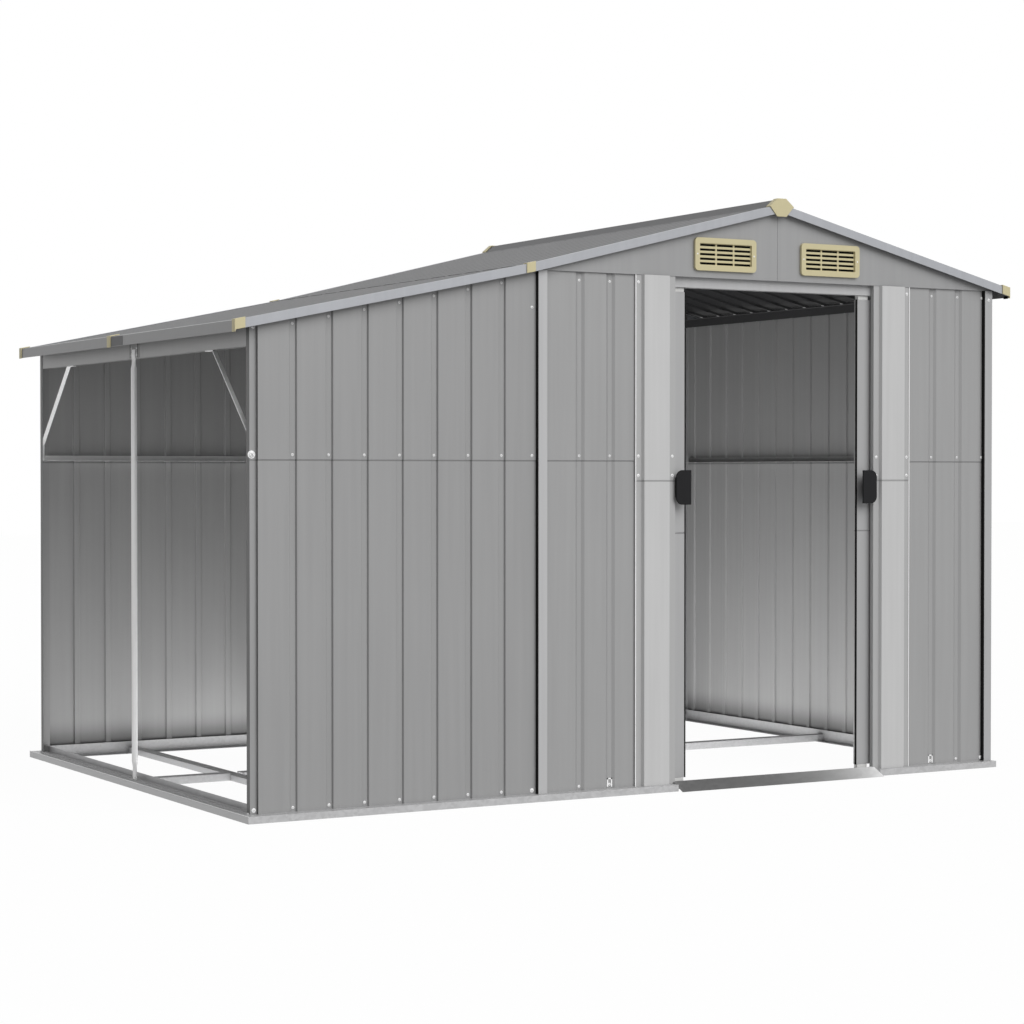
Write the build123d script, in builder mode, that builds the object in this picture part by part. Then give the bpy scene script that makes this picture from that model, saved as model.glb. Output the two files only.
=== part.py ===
"""Metal storage shed: a closed gable shed with sliding doors and an open log bay under one roof.

X runs to the right along the front, Y to the back and Z up. The origin is on the ground, in the
middle of the shed's overall box. All lengths are in millimetres.
"""
import os
from math import atan2, hypot, tan

from build123d import *

os.makedirs("parts", exist_ok=True)

# Building
shed_width = 1720
bay_width = 910
depth = 1790
wall_height = 1557
seam_height = 1000

# Roof
ridge_rise = 212
bay_fall = 190
roof_lift = 23
eave_overhang = 55
verge_overhang = 15
joint_overhang = 35
ridge_gap = 10
joint_gap = 2

# Ribbed sheets
sheet = 0.8
rib_pitch = 111
shed_rib_pitch = 106.5
left_rib_shift = 15
rib_mouth = 26
rib_floor = 16
rib_depth = 9
rib_edge = 70
panel_setback = 12
seam_gap = 0.6

# Corner posts and the edges of the log bay
post_face = 30
post_sheet = 1.2
post_tuck = 5
post_return = 14
edge_side = 22
edge_face = 30
edge_strip = 21
divide_gap = 8

# Base rails
rail_out = 25
rail_out_right = 1
rail_ledge = 20
rail_upstand = 20
rail_foot = 30
rail_sheet = 1.2
anchor_hole = 8
anchor_inset = 90

# Floor rails
floor_rail_width = 40
bay_rail_share = 0.36
cross_rail_height = 25

# Doorway
jamb_inner = 377
jamb_width = 144
jamb_setback = 6
jamb_tuck = 10
jamb_seam = 940
jamb_strip = 22
jamb_flank = 5
jamb_raise = 4
header_drop = 31
header_sheet = 1.2
track_half = 750
ramp_half = 383
ramp_reach = 47
ramp_top = 27
ramp_back = 8
ramp_flange = 12
ramp_sheet = 1.2
ramp_gap = 1

# Sliding doors
leaf_width = 410
leaf_rest = 329
leaf_depth = 16
leaf_bottom = 34
leaf_top = 1512
leaf_seam = 781
leaf_lip = 12
leaf_clearance = 5
track_clearance = 3
channel_clearance = 6
slider_gap = 0.3
slider_length = 40
slider_inset = 2
slider_rise = 33
handle_width = 54
handle_height = 105
handle_depth = 36
handle_plate = 6
handle_stem = 14
handle_stem_start = 26
handle_round = 22
handle_inset = -2
handle_level = 918.5

# Gables and their vents
gable_setback = 4
gable_flange = 26
vent_width = 226
vent_height = 100
vent_offset = 199
vent_level = 1628
vent_depth = 9
vent_plate = 3
vent_rim = 17
vent_round = 12
vent_margin = 17
slot_width = 60
slot_height = 7
slot_pitch_x = 65
slot_pitch_z = 14
slot_columns = 3
slot_rows = 5

# Frame inside
mid_rail_height = 18
mid_rail_step = 3
mid_rail_width = 20
frame_sheet = 1.2
frame_gap = 2
eave_beam_width = 25
eave_beam_height = 30
bay_header_width = 22
bay_header_bottom = 1312
bay_post_radius = 9
bay_post_flat = 4
bay_post_flat_width = 26
bay_post_taper = 30
bay_post_tab = 28
brace_width = 12
brace_bar = 3
brace_tab = 55
brace_reach = 262
brace_step = 59
purlin_width = 30
purlin_height = 35
ridge_beam_width = 40
ridge_beam_height = 40

# Roof trims and caps
trim_sheet = 1.5
trim_face = 26
trim_flange = 25
trim_gap = 1
eave_face = 30
ridge_flat = 16
ridge_foot = 45
ridge_flange = 17
ridge_lift = 14.5
ridge_sheet = 1.2
cap_wall = 3
cap_gap = 0.3
cap_width = 30
cap_hood = 22
eave_joint_shift = 62
ridge_cap_bottom = 56
ridge_cap_base = 17.5

# One overrun serves all cuts
overrun = 5

# Places of the walls
total_width = shed_width + bay_width
x_right = total_width / 2
x_open = -total_width / 2
x_divide = x_right - shed_width
x_ridge = x_right - shed_width / 2
verge_reach = verge_overhang + trim_sheet + cap_gap + cap_wall
y_front = (ramp_reach - max(rail_out, verge_reach) - depth) / 2
y_back = y_front + depth
y_middle = (y_front + y_back) / 2
inset = panel_setback + rib_depth + sheet
web_inset = inset + rail_sheet

# The roof surface, seen along the depth
eave_top = wall_height + roof_lift
ridge_top = eave_top + ridge_rise
main_slope = ridge_rise / (shed_width / 2)
x_joint = x_divide - joint_overhang
joint_top = eave_top - main_slope * joint_overhang
bay_slope = (joint_top - (eave_top - bay_fall)) / (x_joint - x_open)
x_eave_right = x_right + eave_overhang
x_eave_bay = x_open - eave_overhang


def roof_slope(x):
    """Fall of the roof for each unit of width at x."""
    return main_slope if x > x_joint else bay_slope


def roof_top(x):
    """Height of the roof surface at x."""
    if x > x_joint:
        return ridge_top - main_slope * abs(x - x_ridge)
    return joint_top - bay_slope * (x_joint - x)


def roof_level(x, lift):
    """Height of a line that runs square to the roof surface by lift."""
    return roof_top(x) + lift * hypot(1, roof_slope(x))


def outline(plane, *points):
    """A closed polygon on a plane."""
    with BuildSketch(plane) as drawing:
        with BuildLine():
            Polyline(*points, close=True)
        make_face()
    return drawing.sketch


def front_plane(y):
    """A plane that faces the front, with X to the right and Z up."""
    return Plane(origin=(0, y, 0), x_dir=(1, 0, 0), z_dir=(0, -1, 0))


def side_plane(x):
    """A plane that faces the right, with Y to the back and Z up."""
    return Plane(origin=(x, 0, 0), x_dir=(0, 1, 0), z_dir=(1, 0, 0))


def add_slab(near, far, points, mode=Mode.ADD):
    """Add a plate between two depths, from its outline seen from the front."""
    extrude(outline(front_plane(far), *points), amount=far - near, mode=mode)


def add_bar(left, right, points, mode=Mode.ADD):
    """Add a bar between two widths, from its section seen from the right."""
    extrude(outline(side_plane(left), *points), amount=right - left, mode=mode)


def add_block(x, y, z, mode=Mode.ADD):
    """Add a box between pairs of limits."""
    with Locations(((x[0] + x[1]) / 2, (y[0] + y[1]) / 2, (z[0] + z[1]) / 2)):
        Box(x[1] - x[0], y[1] - y[0], z[1] - z[0], mode=mode)


def mirror_y(limits):
    """The limits of a like piece at the other end of the depth."""
    return y_front + y_back - limits[1], y_front + y_back - limits[0]


def angle_section(corner, along, up, thick):
    """An angle from its corner, with a leg along each axis; the signs set the way they run."""
    across = thick if along > 0 else -thick
    rise = thick if up > 0 else -thick
    x, z = corner
    return [
        (x, z),
        (x + along, z),
        (x + along, z + rise),
        (x + across, z + rise),
        (x + across, z + up),
        (x, z + up),
    ]


def channel_section(left, right, bottom, top, thick):
    """A channel that opens downward."""
    return [
        (left, bottom),
        (left, top),
        (right, top),
        (right, bottom),
        (right - thick, bottom),
        (right - thick, top - thick),
        (left + thick, top - thick),
        (left + thick, bottom),
    ]


def rib_outline(length, pitch, shift=0):
    """The section of a ribbed sheet: flat pans with narrow valleys, the same thickness all over."""
    flank = (rib_mouth - rib_floor) / 2
    lean = sheet * tan(atan2(rib_depth, flank) / 2)
    count = int((length - 2 * rib_edge) // pitch) + 1
    outer = [(-length / 2, 0)]
    inner = [(-length / 2, sheet)]
    for number in range(count):
        middle = shift + (number - (count - 1) / 2) * pitch
        corners = (
            (-rib_mouth / 2, 0, -lean),
            (-rib_floor / 2, rib_depth, -lean),
            (rib_floor / 2, rib_depth, lean),
            (rib_mouth / 2, 0, lean),
        )
        for along, inward, shift in corners:
            outer.append((middle + along, inward))
            inner.append((middle + along + shift, inward + sheet))
    outer.append((length / 2, 0))
    inner.append((length / 2, sheet))
    return outer + inner[::-1]


def add_wall(start, end, facing, levels, pitch=shed_rib_pitch, shift=0):
    """Add the sheets of a wall from start to end, given in plan, with their ribs pressed inward."""
    length = hypot(end[0] - start[0], end[1] - start[1])
    middle = ((start[0] + end[0]) / 2, (start[1] + end[1]) / 2)
    along = (-facing[1], facing[0], 0)
    for low, high in levels:
        plane = Plane(origin=(*middle, low), x_dir=along, z_dir=(0, 0, 1))
        extrude(outline(plane, *rib_outline(length, pitch, shift)), amount=high - low)


def save(piece, name):
    """Label a finished piece and write it."""
    piece.part.label = name
    export_step(piece.part, f"parts/{name}.step")


# Base rails: an outer lip, a ledge for the walls, an upstand behind them and a foot on the ground
def rail_section(out):
    """The section of a base rail whose lip stands out from the wall."""
    return [
        (out, 0),
        (out, rail_ledge),
        (-inset, rail_ledge),
        (-inset, rail_ledge + rail_upstand),
        (-web_inset, rail_ledge + rail_upstand),
        (-web_inset, rail_sheet),
        (-web_inset - rail_foot, rail_sheet),
        (-web_inset - rail_foot, 0),
        (-inset, 0),
        (-inset, rail_ledge - rail_sheet),
        (out - rail_sheet, rail_ledge - rail_sheet),
        (out - rail_sheet, 0),
    ]


# Each side of the base, with how far its own lip and those at its two ends stand out
rail_inner = web_inset + rail_foot
anchor_x = total_width / 2 - anchor_inset
anchor_y = depth / 2 - web_inset - rail_foot / 2
rail_sides = {
    "front": ((0, -1, 0), (0, y_front), total_width, (rail_out, rail_out_right, rail_out)),
    "back": ((0, 1, 0), (0, y_back), total_width, (rail_out, rail_out, rail_out_right)),
    "left": ((-1, 0, 0), (x_open, y_middle), depth, (rail_out, rail_out, rail_out)),
    "right": ((1, 0, 0), (x_right, y_middle), depth, (rail_out_right, rail_out, rail_out)),
}
for side, (outward, middle, length, outs) in rail_sides.items():
    plane = Plane(
        origin=(middle[0], middle[1], 0),
        x_dir=outward,
        z_dir=(outward[1], -outward[0], 0),
    )
    with BuildPart() as base_rail:
        extrude(outline(plane, *rail_section(outs[0])), amount=length / 2 + rail_out, both=True)
        mitre_plane = Plane(origin=plane.origin, x_dir=plane.z_dir, z_dir=(0, 0, 1))
        reach = mitre_plane.y_dir.dot(Vector(*outward))
        corners = [
            (-length / 2 - outs[1], reach * outs[0]),
            (length / 2 + outs[2], reach * outs[0]),
            (length / 2 - rail_inner, -reach * rail_inner),
            (-length / 2 + rail_inner, -reach * rail_inner),
        ]
        extrude(outline(mitre_plane, *corners), amount=rail_ledge + rail_upstand, mode=Mode.INTERSECT)
        if side in ("front", "back"):
            row = y_middle + outward[1] * anchor_y
            with Locations((-anchor_x, row, rail_sheet), (anchor_x, row, rail_sheet)):
                Hole(anchor_hole / 2, depth=rail_sheet)
        if side == "front":
            notch = ramp_half + ramp_gap
            add_block(
                (x_ridge - notch, x_ridge + notch),
                (y_front - rail_out - overrun, y_front),
                (-overrun, rail_ledge + overrun),
                mode=Mode.SUBTRACT,
            )
            add_block(
                (x_ridge - jamb_inner, x_ridge + jamb_inner),
                (y_front + inset - overrun, y_front + web_inset + overrun),
                (rail_ledge, rail_ledge + rail_upstand + overrun),
                mode=Mode.SUBTRACT,
            )
    save(base_rail, f"base_rail_{side}")

# Floor rails: one under the inner wall, one along the log bay and one across the middle
bay_rail_middle = x_open + bay_rail_share * bay_width
bay_rail_x = (bay_rail_middle - floor_rail_width / 2, bay_rail_middle + floor_rail_width / 2)
divider_rail_x = (x_divide - rail_sheet, x_divide + inset)
floor_rail_y = (y_front + web_inset, y_back - web_inset)
with BuildPart() as floor_rails:
    for left, right in (bay_rail_x, divider_rail_x):
        add_slab(*floor_rail_y, channel_section(left, right, rail_sheet, rail_ledge, rail_sheet))
save(floor_rails, "floor_rails")

cross_spans = (
    (x_open + web_inset, bay_rail_x[0]),
    (bay_rail_x[1], divider_rail_x[0]),
    (divider_rail_x[1], x_right - web_inset),
)
cross_section = channel_section(
    y_middle - floor_rail_width / 2,
    y_middle + floor_rail_width / 2,
    rail_sheet,
    cross_rail_height,
    rail_sheet,
)
with BuildPart() as floor_cross_rail:
    for left, right in cross_spans:
        add_bar(left, right, cross_section)
save(floor_cross_rail, "floor_cross_rail")

# Corner posts of the closed shed, angles that stand on the ledge
post_height = wall_height - rail_ledge
for name, y, y_way in (("post_front_right", y_front, 1), ("post_back_right", y_back, -1)):
    with BuildPart() as post:
        section = angle_section((x_right, y), -post_face, y_way * post_face, post_sheet)
        extrude(outline(Plane.XY.offset(rail_ledge), *section), amount=post_height)
    save(post, name)

# Posts where the log bay joins the shed, with a return behind the end of the bay's wall
for name, y, y_way in (("post_front_divider", y_front, 1), ("post_back_divider", y_back, -1)):
    thick = y_way * post_sheet
    behind = y + y_way * inset
    section = [
        (x_divide, y),
        (x_divide + post_face, y),
        (x_divide + post_face, y + thick),
        (x_divide + post_sheet, y + thick),
        (x_divide + post_sheet, behind),
        (x_divide - post_return, behind),
        (x_divide - post_return, behind - thick),
        (x_divide, behind - thick),
    ]
    with BuildPart() as post:
        extrude(outline(Plane.XY.offset(rail_ledge), *section), amount=post_height)
    save(post, name)

# Edges of the log bay's two end walls, cut to the roof
bay_roof_limit = Plane(
    origin=(x_joint, 0, roof_level(x_joint - joint_gap, -sheet)),
    x_dir=(1, 0, bay_slope),
    z_dir=(-bay_slope, 0, 1),
)
for name, y, y_way in (("bay_edge_front", y_front, 1), ("bay_edge_back", y_back, -1)):
    with BuildPart() as bay_edge:
        corner = (x_open, y + y_way * (inset - post_sheet))
        section = angle_section(corner, edge_face, y_way * edge_side, post_sheet)
        extrude(outline(Plane.XY.offset(rail_ledge), *section), amount=eave_top - rail_ledge)
        split(bisect_by=bay_roof_limit, keep=Keep.BOTTOM)
    save(bay_edge, name)

# Wall sheets, a lower and an upper one in each wall
wall_levels = ((rail_ledge, seam_height), (seam_height + seam_gap, wall_height))
bay_levels = ((rail_ledge, seam_height), (seam_height + seam_gap, eave_top))
panel_start = post_face - post_tuck
jamb_outer = jamb_inner + jamb_width
panel_doorway = jamb_outer - jamb_tuck
front_panel_y = y_front + panel_setback
back_panel_y = y_back - panel_setback
front_way = (0, -1)
back_way = (0, 1)
left_way = (-1, 0)
right_way = (1, 0)
bay_wall_x = (x_open + edge_strip, x_divide - divide_gap)
side_wall_y = (y_front + panel_start, y_back - panel_start)

with BuildPart() as front_left_wall:
    add_wall(
        (x_divide + panel_start, front_panel_y),
        (x_ridge - panel_doorway, front_panel_y),
        front_way,
        wall_levels,
        shift=left_rib_shift,
    )
save(front_left_wall, "front_left_wall")

with BuildPart() as front_right_wall:
    add_wall(
        (x_ridge + panel_doorway, front_panel_y),
        (x_right - panel_start, front_panel_y),
        front_way,
        wall_levels,
    )
save(front_right_wall, "front_right_wall")

with BuildPart() as back_wall:
    add_wall(
        (x_divide + panel_start, back_panel_y),
        (x_right - panel_start, back_panel_y),
        back_way,
        wall_levels,
    )
save(back_wall, "back_wall")

with BuildPart() as right_wall:
    x = x_right - panel_setback
    add_wall((x, side_wall_y[0]), (x, side_wall_y[1]), right_way, wall_levels)
save(right_wall, "right_wall")

with BuildPart() as divider_wall:
    x = x_divide + panel_setback
    add_wall((x, side_wall_y[0]), (x, side_wall_y[1]), left_way, wall_levels)
save(divider_wall, "divider_wall")

for name, y, facing in (
    ("bay_front_wall", front_panel_y, front_way),
    ("bay_back_wall", back_panel_y, back_way),
):
    with BuildPart() as bay_wall:
        add_wall((bay_wall_x[0], y), (bay_wall_x[1], y), facing, bay_levels, rib_pitch)
        split(bisect_by=bay_roof_limit, keep=Keep.BOTTOM)
    save(bay_wall, name)

# Door jambs: smooth sheets in two heights, raised in the middle and folded back along both edges
jamb_levels = ((rail_ledge, jamb_seam), (jamb_seam + seam_gap, wall_height))
jamb_lean = sheet * tan(atan2(jamb_raise, jamb_flank) / 2)
jamb_low = y_front + jamb_setback
jamb_high = jamb_low - jamb_raise
jamb_front = [
    (0, y_front + inset),
    (0, jamb_low),
    (jamb_strip, jamb_low),
    (jamb_strip + jamb_flank, jamb_high),
    (jamb_width - jamb_strip - jamb_flank, jamb_high),
    (jamb_width - jamb_strip, jamb_low),
    (jamb_width, jamb_low),
    (jamb_width, front_panel_y),
]
jamb_behind = [
    (jamb_width - sheet, front_panel_y),
    (jamb_width - sheet, jamb_low + sheet),
    (jamb_width - jamb_strip - jamb_lean, jamb_low + sheet),
    (jamb_width - jamb_strip - jamb_flank - jamb_lean, jamb_high + sheet),
    (jamb_strip + jamb_flank + jamb_lean, jamb_high + sheet),
    (jamb_strip + jamb_lean, jamb_low + sheet),
    (sheet, jamb_low + sheet),
    (sheet, y_front + inset),
]
for name, way in (("left_jamb", -1), ("right_jamb", 1)):
    section = [(x_ridge + way * (jamb_inner + x), y) for x, y in jamb_front + jamb_behind]
    with BuildPart() as jamb:
        for low, high in jamb_levels:
            extrude(outline(Plane.XY.offset(low), *section), amount=high - low)
    save(jamb, name)

# Tracks for the sliding doors, above and below
leaf_y = (y_front + web_inset + leaf_clearance, y_front + web_inset + leaf_clearance + leaf_depth)
header_y = (y_front + inset, leaf_y[1] + channel_clearance + header_sheet)
track_x = (x_ridge - track_half, x_ridge + track_half)
with BuildPart() as header_track:
    add_bar(*track_x, channel_section(*header_y, wall_height - header_drop, wall_height, header_sheet))
save(header_track, "header_track")

with BuildPart() as bottom_track:
    track_y = (y_front + web_inset + track_clearance, y_front + web_inset + rail_foot - track_clearance)
    add_bar(*track_x, channel_section(*track_y, rail_sheet, rail_ledge, rail_sheet))
save(bottom_track, "bottom_track")

# Ramp at the doorway: a bent plate from the ground up to the ledge
ramp_slope = ramp_top / (ramp_reach + ramp_back)
ramp_drop = ramp_sheet * hypot(1, ramp_slope)
ramp_toe = ramp_drop / ramp_slope
ramp_section = [
    (y_front - ramp_reach, 0),
    (y_front + ramp_back, ramp_top),
    (y_front + ramp_back, rail_ledge + ramp_sheet),
    (y_front + ramp_back + ramp_flange, rail_ledge + ramp_sheet),
    (y_front + ramp_back + ramp_flange, rail_ledge),
    (y_front + ramp_back - ramp_sheet, rail_ledge),
    (y_front + ramp_back - ramp_sheet, ramp_top - ramp_slope * ramp_sheet - ramp_drop),
    (y_front - ramp_reach + ramp_toe, 0),
]
ramp_fit = jamb_inner - ramp_gap
with BuildPart() as door_ramp:
    add_bar(x_ridge - ramp_half, x_ridge + ramp_half, ramp_section)
    for left, right in ((-ramp_half, -ramp_fit), (ramp_fit, ramp_half)):
        add_block(
            (x_ridge + left - overrun * (left < 0), x_ridge + right + overrun * (right > 0)),
            (y_front + jamb_setback - ramp_gap, y_front + ramp_back + ramp_flange + overrun),
            (rail_ledge - overrun, ramp_top + overrun),
            mode=Mode.SUBTRACT,
        )
save(door_ramp, "door_ramp")

# Sliding doors, at rest wide open, each with its slider blocks and handle
leaf_levels = ((leaf_bottom, leaf_seam - seam_gap / 2), (leaf_seam + seam_gap / 2, leaf_top))
for side, way in (("left", -1), ("right", 1)):
    lead = x_ridge + way * leaf_rest
    trail = lead + way * leaf_width
    fold = way * sheet
    lip = way * leaf_lip
    leaf_section = [
        (lead, leaf_y[0]),
        (trail, leaf_y[0]),
        (trail, leaf_y[1]),
        (trail - lip, leaf_y[1]),
        (trail - lip, leaf_y[1] - sheet),
        (trail - fold, leaf_y[1] - sheet),
        (trail - fold, leaf_y[0] + sheet),
        (lead + fold, leaf_y[0] + sheet),
        (lead + fold, leaf_y[1] - sheet),
        (lead + lip, leaf_y[1] - sheet),
        (lead + lip, leaf_y[1]),
        (lead, leaf_y[1]),
    ]
    with BuildPart() as door_leaf:
        for low, high in leaf_levels:
            extrude(outline(Plane.XY.offset(low), *leaf_section), amount=high - low)
    save(door_leaf, f"{side}_door_leaf")

    slider_levels = ((rail_ledge + slider_gap, leaf_bottom), (leaf_top, leaf_top + slider_rise))
    slider_ends = (lead + way * slider_inset, trail - way * (slider_inset + slider_length))
    with BuildPart() as door_sliders:
        for start in slider_ends:
            for level in slider_levels:
                add_block(sorted((start, start + way * slider_length)), leaf_y, level)
    save(door_sliders, f"{side}_door_sliders")

    handle_lead = lead + way * handle_inset
    handle_x = sorted((handle_lead, handle_lead + way * handle_width))
    handle_z = (handle_level - handle_height / 2, handle_level + handle_height / 2)
    plate_y = (leaf_y[0] - handle_depth, leaf_y[0] - handle_depth + handle_plate)
    stem_lead = handle_lead + way * handle_stem_start
    with BuildPart() as door_handle:
        add_block(handle_x, plate_y, handle_z)
        outer_edges = door_handle.edges().filter_by(Axis.Y).sort_by(Axis.X)
        fillet(outer_edges[:2] if way < 0 else outer_edges[-2:], radius=handle_round)
        add_block(
            sorted((stem_lead, stem_lead + way * handle_stem)),
            (plate_y[1], leaf_y[0]),
            (handle_z[0] + handle_round, handle_z[1] - handle_round),
        )
    save(door_handle, f"{side}_door_handle")

# Gables: two plain sheets at each end with a seam under the ridge, folded inward along the bottom
vent_hole_x = vent_width / 2 - vent_margin
vent_hole_z = (vent_level - vent_height / 2 + vent_margin, vent_level + vent_height / 2 - vent_margin)
for name, y, y_way in (("front_gable", y_front, 1), ("back_gable", y_back, -1)):
    sheet_y = sorted((y + y_way * gable_setback, y + y_way * (gable_setback + sheet)))
    flange_y = sorted((y + y_way * gable_setback, y + y_way * (gable_setback + gable_flange)))
    with BuildPart() as gable:
        for way, x_end in ((-1, x_divide), (1, x_right)):
            x_seam = x_ridge + way * seam_gap / 2
            shape = [
                (x_seam, wall_height),
                (x_seam, roof_level(x_seam, -sheet)),
                (x_end, roof_level(x_end, -sheet)),
                (x_end, wall_height),
            ]
            add_slab(*sheet_y, shape)
            add_block(sorted((x_seam, x_end)), flange_y, (wall_height, wall_height + sheet))
            vent_x = x_ridge + way * vent_offset
            add_block(
                (vent_x - vent_hole_x, vent_x + vent_hole_x),
                (sheet_y[0] - overrun, sheet_y[1] + overrun),
                vent_hole_z,
                mode=Mode.SUBTRACT,
            )
    save(gable, name)

# Louvred vents over the openings in the gables
with BuildPart() as gable_vents:
    for y, y_way in ((y_front, 1), (y_back, -1)):
        face = y + y_way * gable_setback
        plane = Plane(origin=(x_ridge, face, vent_level), x_dir=(y_way, 0, 0), z_dir=(0, -y_way, 0))
        with BuildSketch(plane) as plates:
            with Locations((-vent_offset, 0), (vent_offset, 0)):
                RectangleRounded(vent_width, vent_height, vent_round)
        extrude(plates.sketch, amount=vent_depth)
        with BuildSketch(plane.offset(vent_plate)) as fields:
            with Locations((-vent_offset, 0), (vent_offset, 0)):
                RectangleRounded(
                    vent_width - 2 * vent_rim, vent_height - 2 * vent_rim, vent_round - vent_rim / 2
                )
        extrude(fields.sketch, amount=vent_depth, mode=Mode.SUBTRACT)
        with BuildSketch(plane) as slots:
            with Locations((-vent_offset, 0), (vent_offset, 0)):
                with GridLocations(slot_pitch_x, slot_pitch_z, slot_columns, slot_rows):
                    Rectangle(slot_width, slot_height)
        extrude(slots.sketch, amount=vent_depth, mode=Mode.SUBTRACT)
save(gable_vents, "gable_vents")

# Rails inside at the seam of the wall sheets
frame_reach = inset + mid_rail_width + frame_gap
side_rail_y = (y_front + web_inset, y_back - frame_reach)
with BuildPart() as mid_rails:
    legs = (mid_rail_height, frame_sheet)
    rail_low = seam_height + mid_rail_step
    back_section = angle_section((y_back - inset, rail_low), -mid_rail_width, *legs)
    front_section = angle_section((y_front + inset, rail_low), mid_rail_width, *legs)
    right_section = angle_section((x_right - inset, rail_low), -mid_rail_width, *legs)
    divider_section = angle_section((x_divide + inset, rail_low), mid_rail_width, *legs)
    bay_rail_ends = (x_open + post_sheet + brace_width + frame_gap, bay_wall_x[1])
    add_bar(x_divide + inset + frame_gap, x_right - inset - frame_gap, back_section)
    add_bar(*bay_rail_ends, back_section)
    add_bar(*bay_rail_ends, front_section)
    add_slab(*side_rail_y, right_section)
    add_slab(*side_rail_y, divider_section)
save(mid_rails, "mid_rails")

# Beams along the top of the two side walls
eave_beam_y = (y_front + inset, y_back - inset)
with BuildPart() as eave_beams:
    for corner, width in ((x_right - inset, -eave_beam_width), (x_divide + inset, eave_beam_width)):
        section = angle_section((corner, wall_height), width, -eave_beam_height, frame_sheet)
        add_slab(*eave_beam_y, section)
save(eave_beams, "eave_beams")

# Beam over the open side of the log bay
bay_header_x = (x_open + post_sheet, x_open + post_sheet + bay_header_width)
bay_header_top = roof_level(bay_header_x[0], -rib_depth - sheet)
with BuildPart() as bay_header_beam:
    add_slab(
        *eave_beam_y,
        channel_section(*bay_header_x, bay_header_bottom, bay_header_top, frame_sheet),
    )
save(bay_header_beam, "bay_header_beam")

# Post in the middle of the open side: a tube with both ends pressed flat
post_x = bay_header_x[0] - bay_post_flat / 2
post_tube_z = (rail_ledge + bay_post_tab + bay_post_taper, bay_header_bottom - bay_post_taper)
with BuildPart() as bay_post:
    with BuildSketch(Plane(origin=(post_x, y_middle, post_tube_z[0]))):
        Circle(bay_post_radius)
    extrude(amount=post_tube_z[1] - post_tube_z[0])
    for round_z, flat_z, end_z in (
        (post_tube_z[0], rail_ledge + bay_post_tab, rail_ledge),
        (post_tube_z[1], bay_header_bottom, bay_header_bottom + bay_post_tab),
    ):
        with BuildSketch(Plane(origin=(post_x, y_middle, round_z))):
            Circle(bay_post_radius)
        with BuildSketch(Plane(origin=(post_x, y_middle, flat_z))):
            Rectangle(bay_post_flat, bay_post_flat_width)
        loft()
        add_block(
            (post_x - bay_post_flat / 2, post_x + bay_post_flat / 2),
            (y_middle - bay_post_flat_width / 2, y_middle + bay_post_flat_width / 2),
            sorted((flat_z, end_z)),
        )
save(bay_post, "bay_post")

# Knee braces between the end walls of the bay and its header, bent flat bars
brace_top = bay_header_bottom
brace_foot = seam_height + brace_step
brace_rise = brace_top - brace_foot
brace_run = brace_reach
brace_long = hypot(brace_run, brace_rise)
brace_shift = brace_bar * (brace_long - brace_run) / brace_rise
brace_lift = brace_bar * (brace_long - brace_rise) / brace_run
with BuildPart() as bay_braces:
    for wall, way in ((y_front + inset, 1), (y_back - inset, -1)):
        top_y = wall + way * brace_reach
        section = [
            (wall, brace_foot - brace_tab),
            (wall, brace_foot),
            (top_y, brace_top),
            (top_y + way * brace_tab, brace_top),
            (top_y + way * brace_tab, brace_top - brace_bar),
            (top_y + way * brace_shift, brace_top - brace_bar),
            (wall + way * brace_bar, brace_foot - brace_lift),
            (wall + way * brace_bar, brace_foot - brace_tab),
        ]
        add_bar(bay_header_x[0], bay_header_x[0] + brace_width, section)
save(bay_braces, "bay_braces")

# Roof sheets with their ribs down the slope
roof_length = depth + 2 * verge_overhang
roof_slopes = {
    "roof_right": (1, x_ridge + ridge_gap, x_eave_right, main_slope),
    "roof_left": (-1, x_ridge - ridge_gap, x_joint + joint_gap / 2, main_slope),
    "roof_bay": (-1, x_joint - joint_gap / 2, x_eave_bay, bay_slope),
}
for name, (way, x_high, x_low, slope) in roof_slopes.items():
    plane = Plane(
        origin=(x_high, y_middle, roof_top(x_high)),
        x_dir=(0, -way, 0),
        z_dir=(way, 0, -slope),
    )
    with BuildPart() as roof:
        ribs = rib_outline(roof_length, rib_pitch)
        extrude(outline(plane, *ribs), amount=abs(x_low - x_high) * hypot(1, slope))
    save(roof, name)

# Beams under the roof: a channel below the ridge and one along the middle of each slope
purlin_places = (
    ((x_ridge + x_right) / 2, 1, gable_setback + sheet),
    ((x_ridge + x_divide) / 2, -1, gable_setback + sheet),
    ((x_joint + x_open) / 2, -1, inset),
)
with BuildPart() as roof_beams:
    beam_y = (y_front + gable_setback + sheet, y_back - gable_setback - sheet)
    beam_top = roof_level(x_ridge + ridge_beam_width / 2, -rib_depth - sheet)
    add_slab(
        *beam_y,
        channel_section(
            x_ridge - ridge_beam_width / 2,
            x_ridge + ridge_beam_width / 2,
            beam_top - ridge_beam_height,
            beam_top,
            frame_sheet,
        ),
    )
    for x, way, start in purlin_places:
        plane = Plane(
            origin=(x, y_back - start, roof_top(x)),
            x_dir=(1, 0, -way * roof_slope(x)),
            z_dir=(0, -1, 0),
        )
        purlin_top = -rib_depth - sheet
        section = channel_section(
            -purlin_width / 2, purlin_width / 2, purlin_top - purlin_height, purlin_top, frame_sheet
        )
        extrude(outline(plane, *section), amount=depth - 2 * start)
save(roof_beams, "roof_beams")

# Ridge capping: a folded hat that lies on both slopes between the verge trims
flange_inside = trim_flange - verge_overhang - trim_sheet
ridge_line = [
    (ridge_foot + ridge_flange, roof_top(x_ridge + ridge_foot + ridge_flange)),
    (ridge_foot, roof_top(x_ridge + ridge_foot)),
    (ridge_flat, ridge_top + ridge_lift - ridge_sheet),
]


def hat_line(lift):
    """The ridge capping's line from left to right, raised by lift."""
    left = [(x_ridge - x, z + lift) for x, z in ridge_line]
    right = [(x_ridge + x, z + lift) for x, z in reversed(ridge_line)]
    return left + right


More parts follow.
